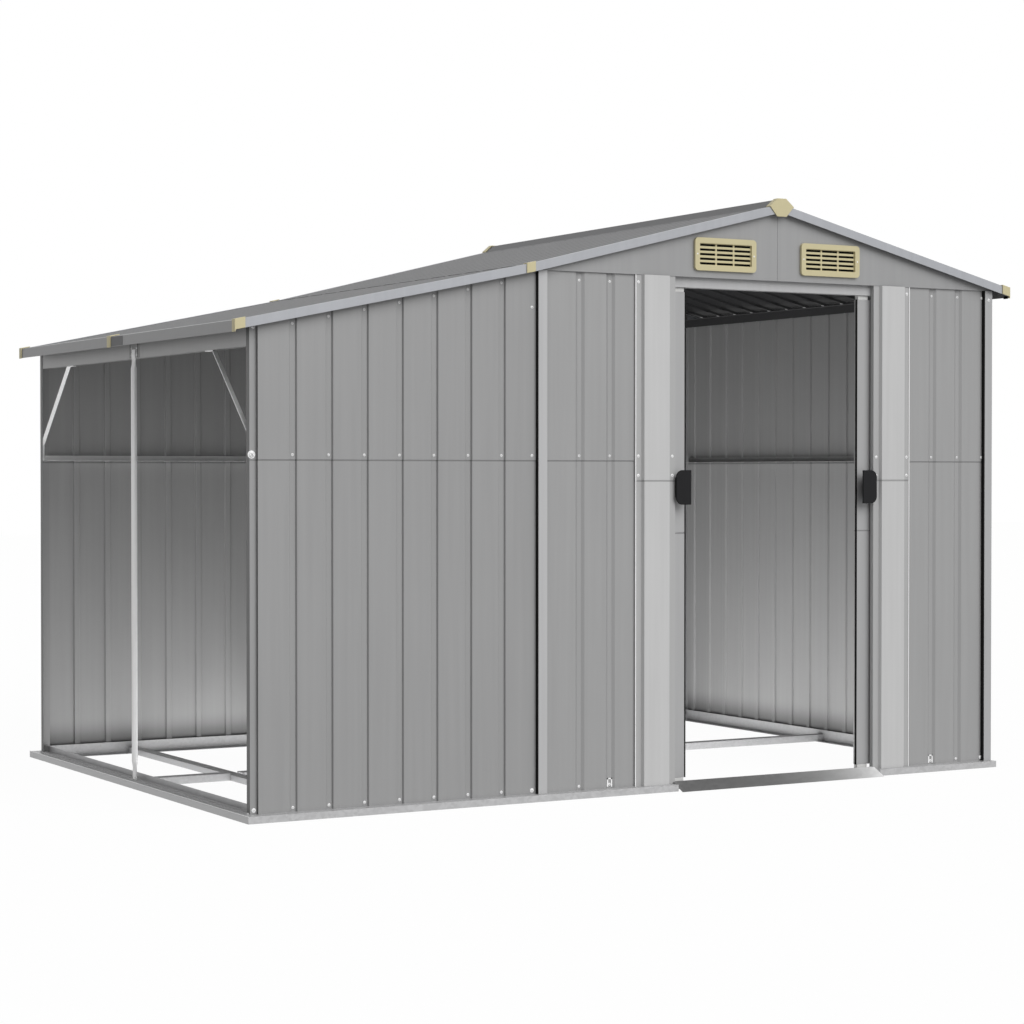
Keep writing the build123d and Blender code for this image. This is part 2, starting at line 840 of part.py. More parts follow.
with BuildPart() as ridge_capping:
    add_slab(
        y_front + flange_inside + trim_gap,
        y_back - flange_inside - trim_gap,
        hat_line(ridge_sheet) + hat_line(0)[::-1],
    )
save(ridge_capping, "ridge_capping")

# Verge trims along the roof's ends and eave trims along its sides
verge_spans = (
    (x_ridge + trim_gap / 2, x_eave_right),
    (x_joint + trim_gap / 2, x_ridge - trim_gap / 2),
    (x_eave_bay, x_joint - trim_gap / 2),
)


def roof_band(places, up, down):
    """The outline of a strip that follows the roof, from up above it to down below it."""
    upper = [(x, roof_level(x, up)) for x in places]
    lower = [(x, roof_level(x, -down)) for x in reversed(places)]
    return upper + lower


verge_face = (y_front - verge_overhang - trim_sheet, y_front - verge_overhang)
verge_flange = (y_front - verge_overhang - trim_sheet, y_front + flange_inside)
for name, at_back in (("verge_trims_front", False), ("verge_trims_back", True)):
    with BuildPart() as verge_trims:
        for span in verge_spans:
            face = mirror_y(verge_face) if at_back else verge_face
            flange = mirror_y(verge_flange) if at_back else verge_flange
            add_slab(*face, roof_band(span, trim_sheet, trim_face - trim_sheet))
            add_slab(*flange, roof_band(span, trim_sheet, 0))
    save(verge_trims, name)

eave_flange_y = (y_front + flange_inside + trim_gap, y_back - flange_inside - trim_gap)
eave_face_y = (y_front - verge_overhang, y_back + verge_overhang)
with BuildPart() as eave_trims:
    for x, way in ((x_eave_right, 1), (x_eave_bay, -1)):
        places = sorted((x - way * trim_flange, x + way * trim_sheet))
        add_slab(*eave_flange_y, roof_band(places, trim_sheet, 0))
        top = roof_level(x, 0)
        add_block(sorted((x, x + way * trim_sheet)), eave_face_y, (top - eave_face, top))
save(eave_trims, "eave_trims")

# Moulded caps at the ridge ends, at the roof joint, at the four corners and along the bay's eave
cap_front = (verge_face[0] - cap_gap - cap_wall, verge_face[0] - cap_gap)
cap_depth = (cap_front[0], cap_front[0] + cap_hood)
cap_low = trim_sheet + cap_gap
cap_high = cap_low + cap_wall
ridge_cap_line = hat_line(trim_sheet * hypot(1, main_slope) + cap_gap)[1:-1]
ridge_cap_top = [(x, z + cap_wall) for x, z in ridge_cap_line]
ridge_cap_foot = ridge_cap_top[1][1] - ridge_cap_bottom
with BuildPart() as ridge_end_caps:
    for at_back in (False, True):
        plate = mirror_y(cap_front) if at_back else cap_front
        hood = mirror_y(cap_depth) if at_back else cap_depth
        base = [(x_ridge + ridge_cap_base, ridge_cap_foot), (x_ridge - ridge_cap_base, ridge_cap_foot)]
        add_slab(*plate, ridge_cap_top + base)
        add_slab(*hood, ridge_cap_top + ridge_cap_line[::-1])
save(ridge_end_caps, "ridge_end_caps")

with BuildPart() as joint_caps:
    places = (x_joint - cap_width / 2, x_joint, x_joint + cap_width / 2)
    for at_back in (False, True):
        plate = mirror_y(cap_front) if at_back else cap_front
        hood = mirror_y(cap_depth) if at_back else cap_depth
        add_slab(*plate, roof_band(places, cap_high, trim_face - trim_sheet))
        add_slab(*hood, roof_band(places, cap_high, -cap_low))
save(joint_caps, "joint_caps")

with BuildPart() as eave_caps:
    for x, way in ((x_eave_right, 1), (x_eave_bay, -1)):
        side_x = (x + way * (trim_sheet + cap_gap), x + way * (trim_sheet + cap_gap + cap_wall))
        places = sorted((x - way * (cap_width - cap_wall), side_x[1]))
        side_places = sorted(side_x)
        for at_back in (False, True):
            plate = mirror_y(cap_front) if at_back else cap_front
            hood = mirror_y(cap_depth) if at_back else cap_depth
            add_slab(*plate, roof_band(places, cap_high, trim_face - trim_sheet))
            add_slab(*hood, roof_band(places, cap_high, -cap_low))
            add_slab(*hood, roof_band(side_places, cap_high, eave_face))
    eave_joint = y_middle + eave_joint_shift
    middle = (eave_joint - cap_width / 2, eave_joint + cap_width / 2)
    add_slab(*middle, roof_band(side_places, cap_high, eave_face))
    add_slab(*middle, roof_band(places, cap_high, -cap_low))
save(eave_caps, "eave_caps")
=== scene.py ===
"""Dressed scene of a metal storage shed: a closed gable shed with sliding doors beside an open log bay."""

import logging
import math
from dataclasses import dataclass, fields, replace
from enum import Enum
from functools import partial
from typing import Callable, Iterable, Sequence

import bmesh
import bpy
from mathutils import Matrix, Vector


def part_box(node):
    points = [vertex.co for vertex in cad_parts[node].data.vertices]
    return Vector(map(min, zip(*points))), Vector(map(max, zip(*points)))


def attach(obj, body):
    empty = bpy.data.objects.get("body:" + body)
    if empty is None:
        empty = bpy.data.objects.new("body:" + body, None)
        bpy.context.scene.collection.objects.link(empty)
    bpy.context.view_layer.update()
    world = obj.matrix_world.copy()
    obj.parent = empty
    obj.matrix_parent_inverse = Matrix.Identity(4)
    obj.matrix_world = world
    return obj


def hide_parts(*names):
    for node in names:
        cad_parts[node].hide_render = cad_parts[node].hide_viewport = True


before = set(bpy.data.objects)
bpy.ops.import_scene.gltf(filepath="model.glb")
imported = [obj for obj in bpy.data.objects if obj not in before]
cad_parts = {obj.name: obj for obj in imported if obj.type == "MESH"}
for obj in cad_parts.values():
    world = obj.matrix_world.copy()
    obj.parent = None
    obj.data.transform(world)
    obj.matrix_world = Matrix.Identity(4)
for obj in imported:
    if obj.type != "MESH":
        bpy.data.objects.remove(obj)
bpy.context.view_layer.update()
LOG = logging.getLogger("shed")

FORWARD = Vector((0.0, -1.0, 0.0))
SEAM_HEIGHT = 1.0
SMOOTH_ANGLE = math.radians(38.0)
SHARP_ANGLE = math.radians(15.0)
FLAT_ANGLE = math.radians(0.5)
WELD = 0.000002
TOUCH = 0.0001
ROUNDING = 0.000001

Mesh = bpy.types.Mesh
Material = bpy.types.Material
Socket = bpy.types.NodeSocket
Span = tuple[float, float]
Rgb = tuple[float, float, float]
Place = tuple[Vector, Vector]


class Body(str, Enum):
    """The bodies that pieces ride on."""

    SHED = "shed"
    LEFT_DOOR = "left_door"
    RIGHT_DOOR = "right_door"


class Slot(str, Enum):
    """The record's material slots."""

    WALL = "wall_steel"
    ROOF = "roof_steel"
    DOOR = "door_steel"
    POST = "post_steel"
    TRIM = "trim_steel"
    ZINC = "galvanised_steel"
    CAP = "cap_plastic"
    HANDLE = "handle_plastic"
    SLIDER = "slider_plastic"


def grey(level: float) -> Rgb:
    """A neutral tone."""
    return (level, level, level)


def shade(tone: Rgb, amount: float) -> tuple[float, float, float, float]:
    """A tone made lighter or darker by amount, as a colour socket's value."""
    return (tone[0] * amount, tone[1] * amount, tone[2] * amount, 1.0)


class NodeBoard:
    """Adds and wires the nodes of one tree."""

    def __init__(self, tree: bpy.types.NodeTree) -> None:
        """Take the tree that the nodes go in."""
        self.tree = tree

    def add(self, kind: str, values: dict | None = None, **settings: object) -> bpy.types.Node:
        """Add a node.

        Args:
            kind: The node's type name.
            values: Inputs by name or index, each a constant or the socket to link.
            settings: The node's own properties.

        Returns:
            The new node.
        """
        node = self.tree.nodes.new(kind)
        for key, value in settings.items():
            setattr(node, key, value)
        for key, value in (values or {}).items():
            if isinstance(value, Socket):
                self.tree.links.new(value, node.inputs[key])
            else:
                node.inputs[key].default_value = value
        return node

    def out(self, kind: str, values: dict | None = None, **settings: object) -> Socket:
        """Add a node, as add does, for its first output."""
        return self.add(kind, values, **settings).outputs[0]

    def sum(self, operation: str, first: object, second: object = 0.0) -> Socket:
        """A Math node's result, from numbers or sockets."""
        return self.out("ShaderNodeMath", {0: first, 1: second}, operation=operation)

    def vector(self, x: object = 0.0, y: object = 0.0, z: object = 0.0) -> Socket:
        """A vector from numbers or sockets."""
        return self.out("ShaderNodeCombineXYZ", {0: x, 1: y, 2: z})

    def axis(self, vector: Socket, name: str) -> Socket:
        """One axis of a vector."""
        return self.add("ShaderNodeSeparateXYZ", {0: vector}).outputs[name]

    def noise(self, place: Socket, scale: float, detail: float) -> Socket:
        """A noise between 0 and 1."""
        return self.out("ShaderNodeTexNoise", {"Vector": place, "Scale": scale, "Detail": detail})

    def span(
        self, value: Socket, source: Span = (0.0, 1.0), target: Span = (0.0, 1.0), ease: str = "LINEAR"
    ) -> Socket:
        """Map a value from one range to another.

        Args:
            value: The value.
            source: The range that it comes from.
            target: The range that it goes to.
            ease: How it runs between the ends.

        Returns:
            The mapped value.
        """
        ends = {"From Min": source[0], "From Max": source[1], "To Min": target[0], "To Max": target[1]}
        return self.out("ShaderNodeMapRange", {"Value": value, **ends}, interpolation_type=ease)

    def uneven(self, level: Socket, tone: Rgb, amount: float) -> Socket:
        """A tone that runs from darker to lighter with a level."""
        tones = {"Factor": level, 6: shade(tone, 1.0 - amount), 7: shade(tone, 1.0 + amount)}
        return self.add("ShaderNodeMix", tones, data_type="RGBA").outputs[2]

    def multiply(self, colour: Socket, amount: Socket) -> Socket:
        """A colour multiplied by an amount."""
        factors = {"Factor": 1.0, 6: colour, 7: amount}
        return self.add("ShaderNodeMix", factors, data_type="RGBA", blend_type="MULTIPLY").outputs[2]

    def join(self, *shapes: Socket) -> Socket:
        """Join shapes.

        Args:
            shapes: The shapes, in order.

        Returns:
            All of them as one.
        """
        node = self.add("GeometryNodeJoinGeometry")
        for shape in shapes:
            self.tree.links.new(shape, node.inputs[0])
        return node.outputs[0]

    def coat(self, shape: Socket, material: Socket, **chosen: Socket) -> Socket:
        """A shape with a material on it, or on its Selection alone."""
        return self.out("GeometryNodeSetMaterial", {"Geometry": shape, "Material": material, **chosen})


@dataclass(frozen=True)
class Finish:
    """What every finish has: a name, a tone and shader inputs that vary over the surface."""

    name: str
    tone: Rgb

    def material(self) -> Material:
        """Build the finish as a material."""
        material = bpy.data.materials.new(self.name)
        material.use_nodes = True
        material.node_tree.nodes.clear()
        board = NodeBoard(material.node_tree)
        shader = board.add("ShaderNodeBsdfPrincipled")
        board.add("ShaderNodeOutputMaterial", {"Surface": shader.outputs["BSDF"]})
        place = board.add("ShaderNodeTexCoord").outputs["Object"]
        for name, value in self.inputs(board, place).items():
            if isinstance(value, Socket):
                board.tree.links.new(value, shader.inputs[name])
            else:
                shader.inputs[name].default_value = value
        return material

    def inputs(self, board: NodeBoard, place: Socket) -> dict[str, object]:
        """Make the shader's inputs.

        Args:
            board: The material's board.
            place: Object coordinates.

        Returns:
            Constants and sockets by input name.
        """
        raise NotImplementedError


@dataclass(frozen=True)
class PaintedSteel(Finish):
    """Factory-painted sheet: faint rolled streaks, a fine skin and painted shade in its folds, below its lap
    and at its foot.
    """

    roughness: float = 0.45
    rough_span: Span = (-0.06, 0.08)
    metal: float = 0.15
    gloss: float = 0.4
    streak: float = 0.035
    streak_scale: tuple[float, float, float] = (55.0, 55.0, 1.6)
    streak_share: float = 0.6
    streak_span: Span = (0.35, 0.65)
    cloud_scale: float = 2.4
    skin_scale: float = 1300.0
    skin_depth: float = 0.05
    skin_height: float = 0.0004
    # fold_*: painted shade in folds from ambient occlusion; seam_*: a painted shadow line below a lap;
    # foot_*: painted shade towards the foot.
    fold_reach: float = 0.022
    fold_span: Span = (0.1, 0.75)
    fold_shade: float = 0.72
    seam_height: float = 0.0
    seam_reach: float = 0.0024
    seam_shade: float = 0.6
    foot_start: float = 0.02
    foot_height: float = 0.0
    foot_shade: float = 0.4

    def inputs(self, board: NodeBoard, place: Socket) -> dict[str, object]:
        """Make the shader's inputs.

        Args:
            board: The material's board.
            place: Object coordinates.

        Returns:
            Constants and sockets by input name.
        """
        stretched = board.out("ShaderNodeMapping", {"Vector": place, "Scale": self.streak_scale})
        streaks = board.noise(stretched, 1.0, detail=4.0)
        clouds = board.noise(place, self.cloud_scale, detail=3.0)
        shares = ((streaks, self.streak_share), (clouds, 1.0 - self.streak_share))
        mixed = board.sum("ADD", *(board.sum("MULTIPLY", noise, share) for noise, share in shares))
        colour = board.uneven(board.span(mixed, self.streak_span), self.tone, self.streak)
        for amount in self.shadows(board, place):
            colour = board.multiply(colour, amount)
        skin = board.noise(place, self.skin_scale, detail=2.0)
        bump = {"Height": skin, "Strength": self.skin_depth, "Distance": self.skin_height}
        return {
            "Metallic": self.metal,
            "Specular IOR Level": self.gloss,
            "Base Color": colour,
            "Roughness": board.span(streaks, target=tuple(self.roughness + part for part in self.rough_span)),
            "Normal": board.out("ShaderNodeBump", bump),
        }

    def shadows(self, board: NodeBoard, place: Socket) -> list[Socket]:
        """Paint shade into the paint: in its folds by ambient occlusion, as a shadow line just below the
        upper sheet's lap, and darker towards the sheet's foot.

        Args:
            board: The material's board.
            place: Object coordinates.

        Returns:
            The amounts to multiply the paint by.
        """
        # Painted shade: ambient occlusion darkens the paint in folds and creases.
        nearness = board.add("ShaderNodeAmbientOcclusion", {"Distance": self.fold_reach}, samples=6)
        amounts = [board.span(nearness.outputs["AO"], self.fold_span, (self.fold_shade, 1.0))]
        # Painted shadow line just below the upper sheet's lap.
        if self.seam_height:
            line = self.seam_height - self.seam_reach
            off = board.sum("ABSOLUTE", board.sum("SUBTRACT", board.axis(place, "Z"), line))
            amounts.append(board.span(off, (0.5 * self.seam_reach, self.seam_reach), (self.seam_shade, 1.0)))
        # Painted shade, darker towards the sheet's foot.
        if self.foot_height:
            ends = (self.foot_start, self.foot_height)
            amounts.append(board.span(board.axis(place, "Z"), ends, (self.foot_shade, 1.0), "SMOOTHERSTEP"))
        return amounts


@dataclass(frozen=True)
class GalvanisedSteel(Finish):
    """Bare zinc-coated steel with its crystal spangle."""

    roughness: float = 0.4
    rough_span: Span = (-0.1, 0.12)
    spangle_scale: float = 110.0
    spangle_depth: float = 0.02
    spangle_height: float = 0.0006
    warp: float = 0.004
    warp_scale: float = 60.0
    contrast: float = 0.06
    metal: float = 0.35
    # Painted highlight: the zinc grows brighter towards the far end of this span along X, by this gain and
    # power.
    sheen_span: Span = (0.0, 0.0)
    sheen: float = 1.0
    sheen_power: float = 4.0

    def inputs(self, board: NodeBoard, place: Socket) -> dict[str, object]:
        """Make the shader's inputs.

        Args:
            board: The material's board.
            place: Object coordinates.

        Returns:
            Constants and sockets by input name.
        """
        warp = board.add("ShaderNodeTexNoise", {"Vector": place, "Scale": self.warp_scale, "Detail": 2.0})
        ends = {"Factor": self.warp, 4: place, 5: warp.outputs["Color"]}
        bent = board.add("ShaderNodeMix", ends, data_type="VECTOR").outputs[1]
        crystals = board.add("ShaderNodeTexVoronoi", {"Vector": bent, "Scale": self.spangle_scale}).outputs
        grain = board.out("ShaderNodeSeparateColor", {0: crystals["Color"]})
        colour = board.uneven(grain, self.tone, self.contrast)
        # Painted highlight towards one end.
        if self.sheen > 1.0:
            colour = board.multiply(colour, self.bright_end(board, place))
        relief = crystals["Distance"]
        bump = {"Height": relief, "Strength": self.spangle_depth, "Distance": self.spangle_height}
        return {
            "Metallic": self.metal,
            "Base Color": colour,
            "Roughness": board.span(grain, target=tuple(self.roughness + part for part in self.rough_span)),
            "Normal": board.out("ShaderNodeBump", bump),
        }

    def bright_end(self, board: NodeBoard, place: Socket) -> Socket:
        """Paint a highlight on the zinc towards one end, where it catches the light.

        Args:
            board: The material's board.
            place: Object coordinates.

        Returns:
            The amount to multiply the zinc by.
        """
        share = board.span(board.axis(place, "X"), self.sheen_span)
        curve = board.sum("POWER", share, self.sheen_power)
        return board.sum("ADD", board.sum("MULTIPLY", curve, self.sheen - 1.0), 1.0)


@dataclass(frozen=True)
class MouldedPlastic(Finish):
    """Moulded plastic with a fine grain and slightly uneven colour."""

    roughness: float = 0.48
    rough_span: Span = (-0.06, 0.06)
    gloss: float = 0.45
    uneven: float = 0.05
    flow_scale: float = 26.0
    grain_scale: float = 1700.0
    grain_depth: float = 0.12
    grain_height: float = 0.0005

    def inputs(self, board: NodeBoard, place: Socket) -> dict[str, object]:
        """Make the shader's inputs.

        Args:
            board: The material's board.
            place: Object coordinates.

        Returns:
            Constants and sockets by input name.
        """
        flow = board.noise(place, self.flow_scale, detail=3.0)
        grain = board.noise(place, self.grain_scale, detail=2.0)
        bump = {"Height": grain, "Strength": self.grain_depth, "Distance": self.grain_height}
        return {
            "Specular IOR Level": self.gloss,
            "Base Color": board.uneven(flow, self.tone, self.uneven),
            "Roughness": board.span(flow, target=tuple(self.roughness + part for part in self.rough_span)),
            "Normal": board.out("ShaderNodeBump", bump),
        }


class Palette:
    """Every finish of the shed, made once."""

    def __init__(self) -> None:
        """Build the materials."""
        paint = PaintedSteel
        down_slope = (2.0, 60.0, 2.0)
        # Heights of the painted shadow line below the laps on the jambs and door leaves; seam_height does the
        # same on the walls.
        jamb_seam = 0.94
        leaf_seam = 0.781
        self.wall = paint("grey_wall_paint", (0.3, 0.3, 0.301), seam_height=SEAM_HEIGHT).material()
        # A lighter copy of the wall paint for the shed's front walls: painted light.
        self.front = paint("lit_front_wall_paint", (0.325, 0.325, 0.326), seam_height=SEAM_HEIGHT).material()
        # The walls' inner coat, with painted shade towards their foot.
        self.wall_back = paint(
            "grey_wall_back_coat", grey(0.33), seam_height=SEAM_HEIGHT, foot_height=0.14
        ).material()
        self.roof = paint(
            "grey_roof_paint", (0.145, 0.146, 0.149), roughness=0.62, streak_scale=down_slope, fold_shade=0.95
        ).material()
        # Near-black underside of the roof sheets: painted shade for the dark ceiling.
        self.roof_back = paint(
            "roof_underside_painted_shade", (0.022, 0.022, 0.023), roughness=0.7, streak_scale=down_slope
        ).material()
        self.gable = paint("grey_gable_paint", (0.31, 0.311, 0.313)).material()
        self.jamb = paint("light_jamb_paint", grey(0.515), seam_height=jamb_seam).material()
        # A darker copy of the jamb paint for the recessed strips: painted shade.
        self.jamb_strip = paint("shaded_strip_paint", grey(0.4), seam_height=jamb_seam).material()
        # Near-white paint for edges that catch the light: a painted highlight.
        self.hem = paint("bright_hem_paint", grey(0.9), fold_shade=1.0).material()
        self.leaf = paint("grey_leaf_paint", (0.38, 0.38, 0.383), seam_height=leaf_seam).material()
        # Lit and shaded copies of one post paint: divider posts lighter, right corner posts darker, as
        # painted light and shade.
        self.post = paint("lit_post_paint", (0.45, 0.45, 0.454)).material()
        self.corner_post = paint("shaded_post_paint", (0.39, 0.392, 0.396)).material()
        self.trim = paint("pale_trim_paint", (0.4, 0.41, 0.434), roughness=0.36).material()
        # A darker copy of the trim paint for the left-facing eave trims: painted shade.
        self.eave = paint("shaded_eave_paint", (0.3, 0.3, 0.304)).material()
        self.beam = paint("grey_beam_paint", grey(0.43)).material()
        # Near-black paint for the beams under the roof: painted shade of the dark ceiling.
        self.dark_beam = paint("dark_beam_paint", (0.06, 0.06, 0.062), roughness=0.7).material()
        # Bright zinc, its tone raised as painted light so the post's and braces' shaded left faces read
        # bright; clips and the rail's fold share it.
        self.bright_zinc = paint("bright_zinc_painted_light", grey(0.92), roughness=0.34, fold_shade=1.0).material()
        # Dark paint for the bay edges' left-facing faces: painted shade.
        self.shadow_edge = paint("painted_shade_edge_paint", (0.12, 0.12, 0.121)).material()
        self.zinc = GalvanisedSteel("zinc_rail", (0.46, 0.46, 0.465)).material()
        ramp_ends = tuple(corner[0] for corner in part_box("door_ramp"))
        # The ramp's zinc, with a painted highlight towards its right end.
        self.ramp = GalvanisedSteel(
            "zinc_ramp_painted_highlight", grey(0.17), contrast=0.03, metal=0.2, sheen_span=ramp_ends, sheen=4.6
        ).material()
        screw = GalvanisedSteel("zinc_screw", grey(0.92), roughness=0.45, spangle_scale=600.0, metal=0.0)
        self.screw = screw.material()
        # A darker grey for the screws' cross recess: painted shade in the recess.
        self.recess = replace(screw, name="screw_recess", tone=grey(0.4), roughness=0.4).material()
        self.cap = MouldedPlastic("beige_plastic", (0.58, 0.52, 0.315)).material()
        self.handle = MouldedPlastic("black_plastic", (0.008, 0.008, 0.009), gloss=0.15).material()
        self.slider = MouldedPlastic("light_plastic", (0.62, 0.62, 0.61)).material()
        # Near-black plastic for pieces that stand in for shade: louvre blades, strips in gaps, plate slots
        # and the line under the verge.
        self.gap = MouldedPlastic("painted_shade_black", grey(0.008), roughness=0.8, gloss=0.1).material()


class NodeTree:
    """A Geometry Nodes tree with named inputs, which turns a seed mesh into a plain mesh."""

    def __init__(
        self, name: str, sizes: Sequence[str], counts: Sequence[str] = (), materials: Sequence[str] = ()
    ) -> None:
        """Start the tree.

        Args:
            name: The tree's name.
            sizes: The names of its inputs that are lengths or angles.
            counts: The names of its inputs that are whole numbers.
            materials: The names of its inputs that are materials.
        """
        self.tree = bpy.data.node_groups.new(name, "GeometryNodeTree")
        kinds = (("Geometry", ("Seed",)), ("Float", sizes), ("Int", counts), ("Material", materials))
        for kind, labels in kinds:
            for label in labels:
                self.tree.interface.new_socket(label, in_out="INPUT", socket_type=f"NodeSocket{kind}")
        self.tree.interface.new_socket("Shape", in_out="OUTPUT", socket_type="NodeSocketGeometry")
        self.board = NodeBoard(self.tree)
        self.given = self.board.add("NodeGroupInput").outputs

    def end(self, shape: Socket) -> None:
        """Wire the finished shape to the output."""
        self.board.add("NodeGroupOutput", {0: shape})

    def run(self, name: str, values: dict[str, object], seed: Mesh | None = None) -> Mesh:
        """Evaluate the tree once.

        Args:
            name: A name for the result.
            values: Input values by name; names that the tree lacks are left out.
            seed: The mesh that the tree starts from.

        Returns:
            The result as a plain mesh.
        """
        carrier = scene_object(name, seed or bpy.data.meshes.new(name))
        modifier = carrier.modifiers.new("nodes", "NODES")
        modifier.node_group = self.tree
        for item in self.tree.interface.items_tree:
            if item.in_out == "INPUT" and item.name in values:
                modifier[item.identifier] = values[item.name]
        graph = bpy.context.evaluated_depsgraph_get()
        mesh = bpy.data.meshes.new_from_object(carrier.evaluated_get(graph))
        carrier.modifiers.remove(modifier)
        bpy.data.objects.remove(carrier)
        return mesh


def named_inputs(sizes: object) -> dict[str, object]:
    """A dataclass's values by node input name, so that blade_sheet becomes Blade Sheet."""
    return {item.name.replace("_", " ").title(): getattr(sizes, item.name) for item in fields(sizes)}


def ribbed_sheet_tree() -> NodeTree:
    """Build the tree of a ribbed sheet: a folded line, rounded at its bends, drawn up and given thickness.

    Returns:
        The tree, with X along the sheet, Y inward and Z up its ribs.
    """
    rib_sizes = ("Length", "Pitch", "Mouth", "Floor", "Depth", "Bend")
    sheet_sizes = ("Low", "High", "Rise", "Proud", "Sheet", "Shift")
    sheet = NodeTree("ribbed_sheet", rib_sizes + sheet_sizes, ("Ribs",), ("Paint", "Back"))
    board, given = sheet.board, sheet.given
    operations = ("ADD", "SUBTRACT", "MULTIPLY", "DIVIDE", "GREATER_THAN", "ABSOLUTE")
    plus, minus, times, over, more, size_of = (partial(board.sum, name) for name in operations)
    corners_each = 4.0
    last = plus(times(given["Ribs"], corners_each), 1.0)
    line = board.out("GeometryNodeMeshLine", {"Count": plus(last, 1.0)})
    index = board.out("GeometryNodeInputIndex")
    step = minus(index, 1.0)
    rib = board.sum("FLOOR", over(step, corners_each))
    corner = minus(minus(step, times(rib, corners_each)), 1.5)
    at_mouth = more(size_of(corner), 1.0)
    halves = {"Factor": at_mouth, 2: times(given["Floor"], 0.5), 3: times(given["Mouth"], 0.5)}
    half = board.out("ShaderNodeMix", halves)
    middle = minus(rib, times(minus(given["Ribs"], 1.0), 0.5))
    centre = plus(times(middle, given["Pitch"]), given["Shift"])
    along = plus(centre, times(board.sum("SIGN", corner), half))
    half_way = times(last, 0.5)
    is_end = more(size_of(minus(index, half_way)), minus(half_way, 0.5))
    end_place = times(given["Length"], minus(over(index, last), 0.5))
    along = board.out("ShaderNodeMix", {"Factor": is_end, 2: along, 3: end_place})
    inward = minus(times(given["Depth"], minus(1.0, at_mouth)), given["Proud"])
    spots = board.vector(along, inward, given["Low"])
    folded = board.out("GeometryNodeSetPosition", {"Geometry": line, "Position": spots})
    curve = board.out("GeometryNodeMeshToCurve", {0: folded})
    bends = {"Curve": curve, "Count": 2, "Radius": given["Bend"], "Limit Radius": True}
    rounded = board.out("GeometryNodeFilletCurve", bends, mode="POLY")
    edges = board.out("GeometryNodeCurveToMesh", {"Curve": rounded})
    up = board.vector(z=minus(given["High"], given["Low"]))
    drawn = board.add("GeometryNodeExtrudeMesh", {"Mesh": edges, "Offset": up}, mode="EDGES").outputs
    slope = times(board.axis(board.out("GeometryNodeInputPosition"), "X"), given["Rise"])
    raised = {"Geometry": drawn["Mesh"], "Selection": drawn["Top"], "Offset": board.vector(z=slope)}
    sloped = board.out("GeometryNodeSetPosition", raised)
    flipped = board.out("GeometryNodeFlipFaces", {0: sloped})
    sheet_side = {"Mesh": flipped, "Offset Scale": given["Sheet"], "Individual": False}
    thick = board.add("GeometryNodeExtrudeMesh", sheet_side, mode="FACES").outputs
    both = board.join(thick["Mesh"], sloped)
    closed = board.out("GeometryNodeMergeByDistance", {"Geometry": both, "Distance": 0.00001})
    real = board.out("GeometryNodeRealizeInstances", {0: closed})
    sheet.end(board.coat(board.coat(real, given["Back"]), given["Paint"], Selection=thick["Top"]))
    return sheet


def screw_tree() -> NodeTree:
    """Build the tree that sets a washer-head screw on each seed point, along its aim.

    Returns:
        The tree, whose seed points carry the vector attribute aim.
    """
    screws = NodeTree("screw_heads", ("Washer", "Head", "Height", "Slot"), materials=("Zinc", "Recess"))
    board, given = screws.board, screws.given
    washer_share = 0.3
    slot_reach = 1.1
    slot_share = 0.86
    below = -0.00002
    thickness = board.sum("MULTIPLY", given["Height"], washer_share)
    disc = {"Vertices": 10, "Radius": given["Washer"], "Depth": thickness}
    washer = board.out("GeometryNodeMeshCylinder", disc)
    ball = board.out("GeometryNodeMeshUVSphere", {"Segments": 8, "Rings": 4, "Radius": given["Head"]})
    squash = board.vector(1.0, 1.0, board.sum("DIVIDE", given["Height"], given["Head"]))
    flat = board.out("GeometryNodeTransform", {"Geometry": ball, "Scale": squash})
    height = board.axis(board.out("GeometryNodeInputPosition"), "Z")
    lower = board.sum("LESS_THAN", height, below)
    dome = board.out("GeometryNodeDeleteGeometry", {"Geometry": flat, "Selection": lower})
    metal = board.coat(board.join(washer, dome), given["Zinc"])
    # The cross recess is two bars in the darker recess finish: painted shade.
    reach = board.sum("MULTIPLY", given["Head"], slot_reach)
    sides = ((reach, given["Slot"]), (given["Slot"], reach))
    bars = [board.out("GeometryNodeMeshCube", {"Size": board.vector(*side, given["Slot"])}) for side in sides]
    recess = board.coat(board.join(*bars), given["Recess"])
    level = board.vector(z=board.sum("MULTIPLY", given["Height"], slot_share))
    raised = board.out("GeometryNodeTransform", {"Geometry": recess, "Translation": level})
    whole = board.join(raised, metal)
    aim = board.out("GeometryNodeInputNamedAttribute", {"Name": "aim"}, data_type="FLOAT_VECTOR")
    turn = board.out("FunctionNodeAlignRotationToVector", {"Vector": aim}, axis="Z")
    spin = board.add("FunctionNodeRandomValue", {2: 0.0, 3: math.pi, "Seed": 7}, data_type="FLOAT").outputs[1]
    roll = board.out("FunctionNodeAxisAngleToRotation", {"Axis": (0.0, 0.0, 1.0), "Angle": spin})
    turns = {"Rotation": turn, "Rotate By": roll}
    spun = board.out("FunctionNodeRotateRotation", turns, rotation_space="LOCAL")
    points = board.out("GeometryNodeMeshToPoints", {"Mesh": given["Seed"]})
    placed = {"Points": points, "Instance": whole, "Rotation": spun}
    copies = board.out("GeometryNodeInstanceOnPoints", placed)
    screws.end(board.out("GeometryNodeRealizeInstances", {0: copies}))
    return screws


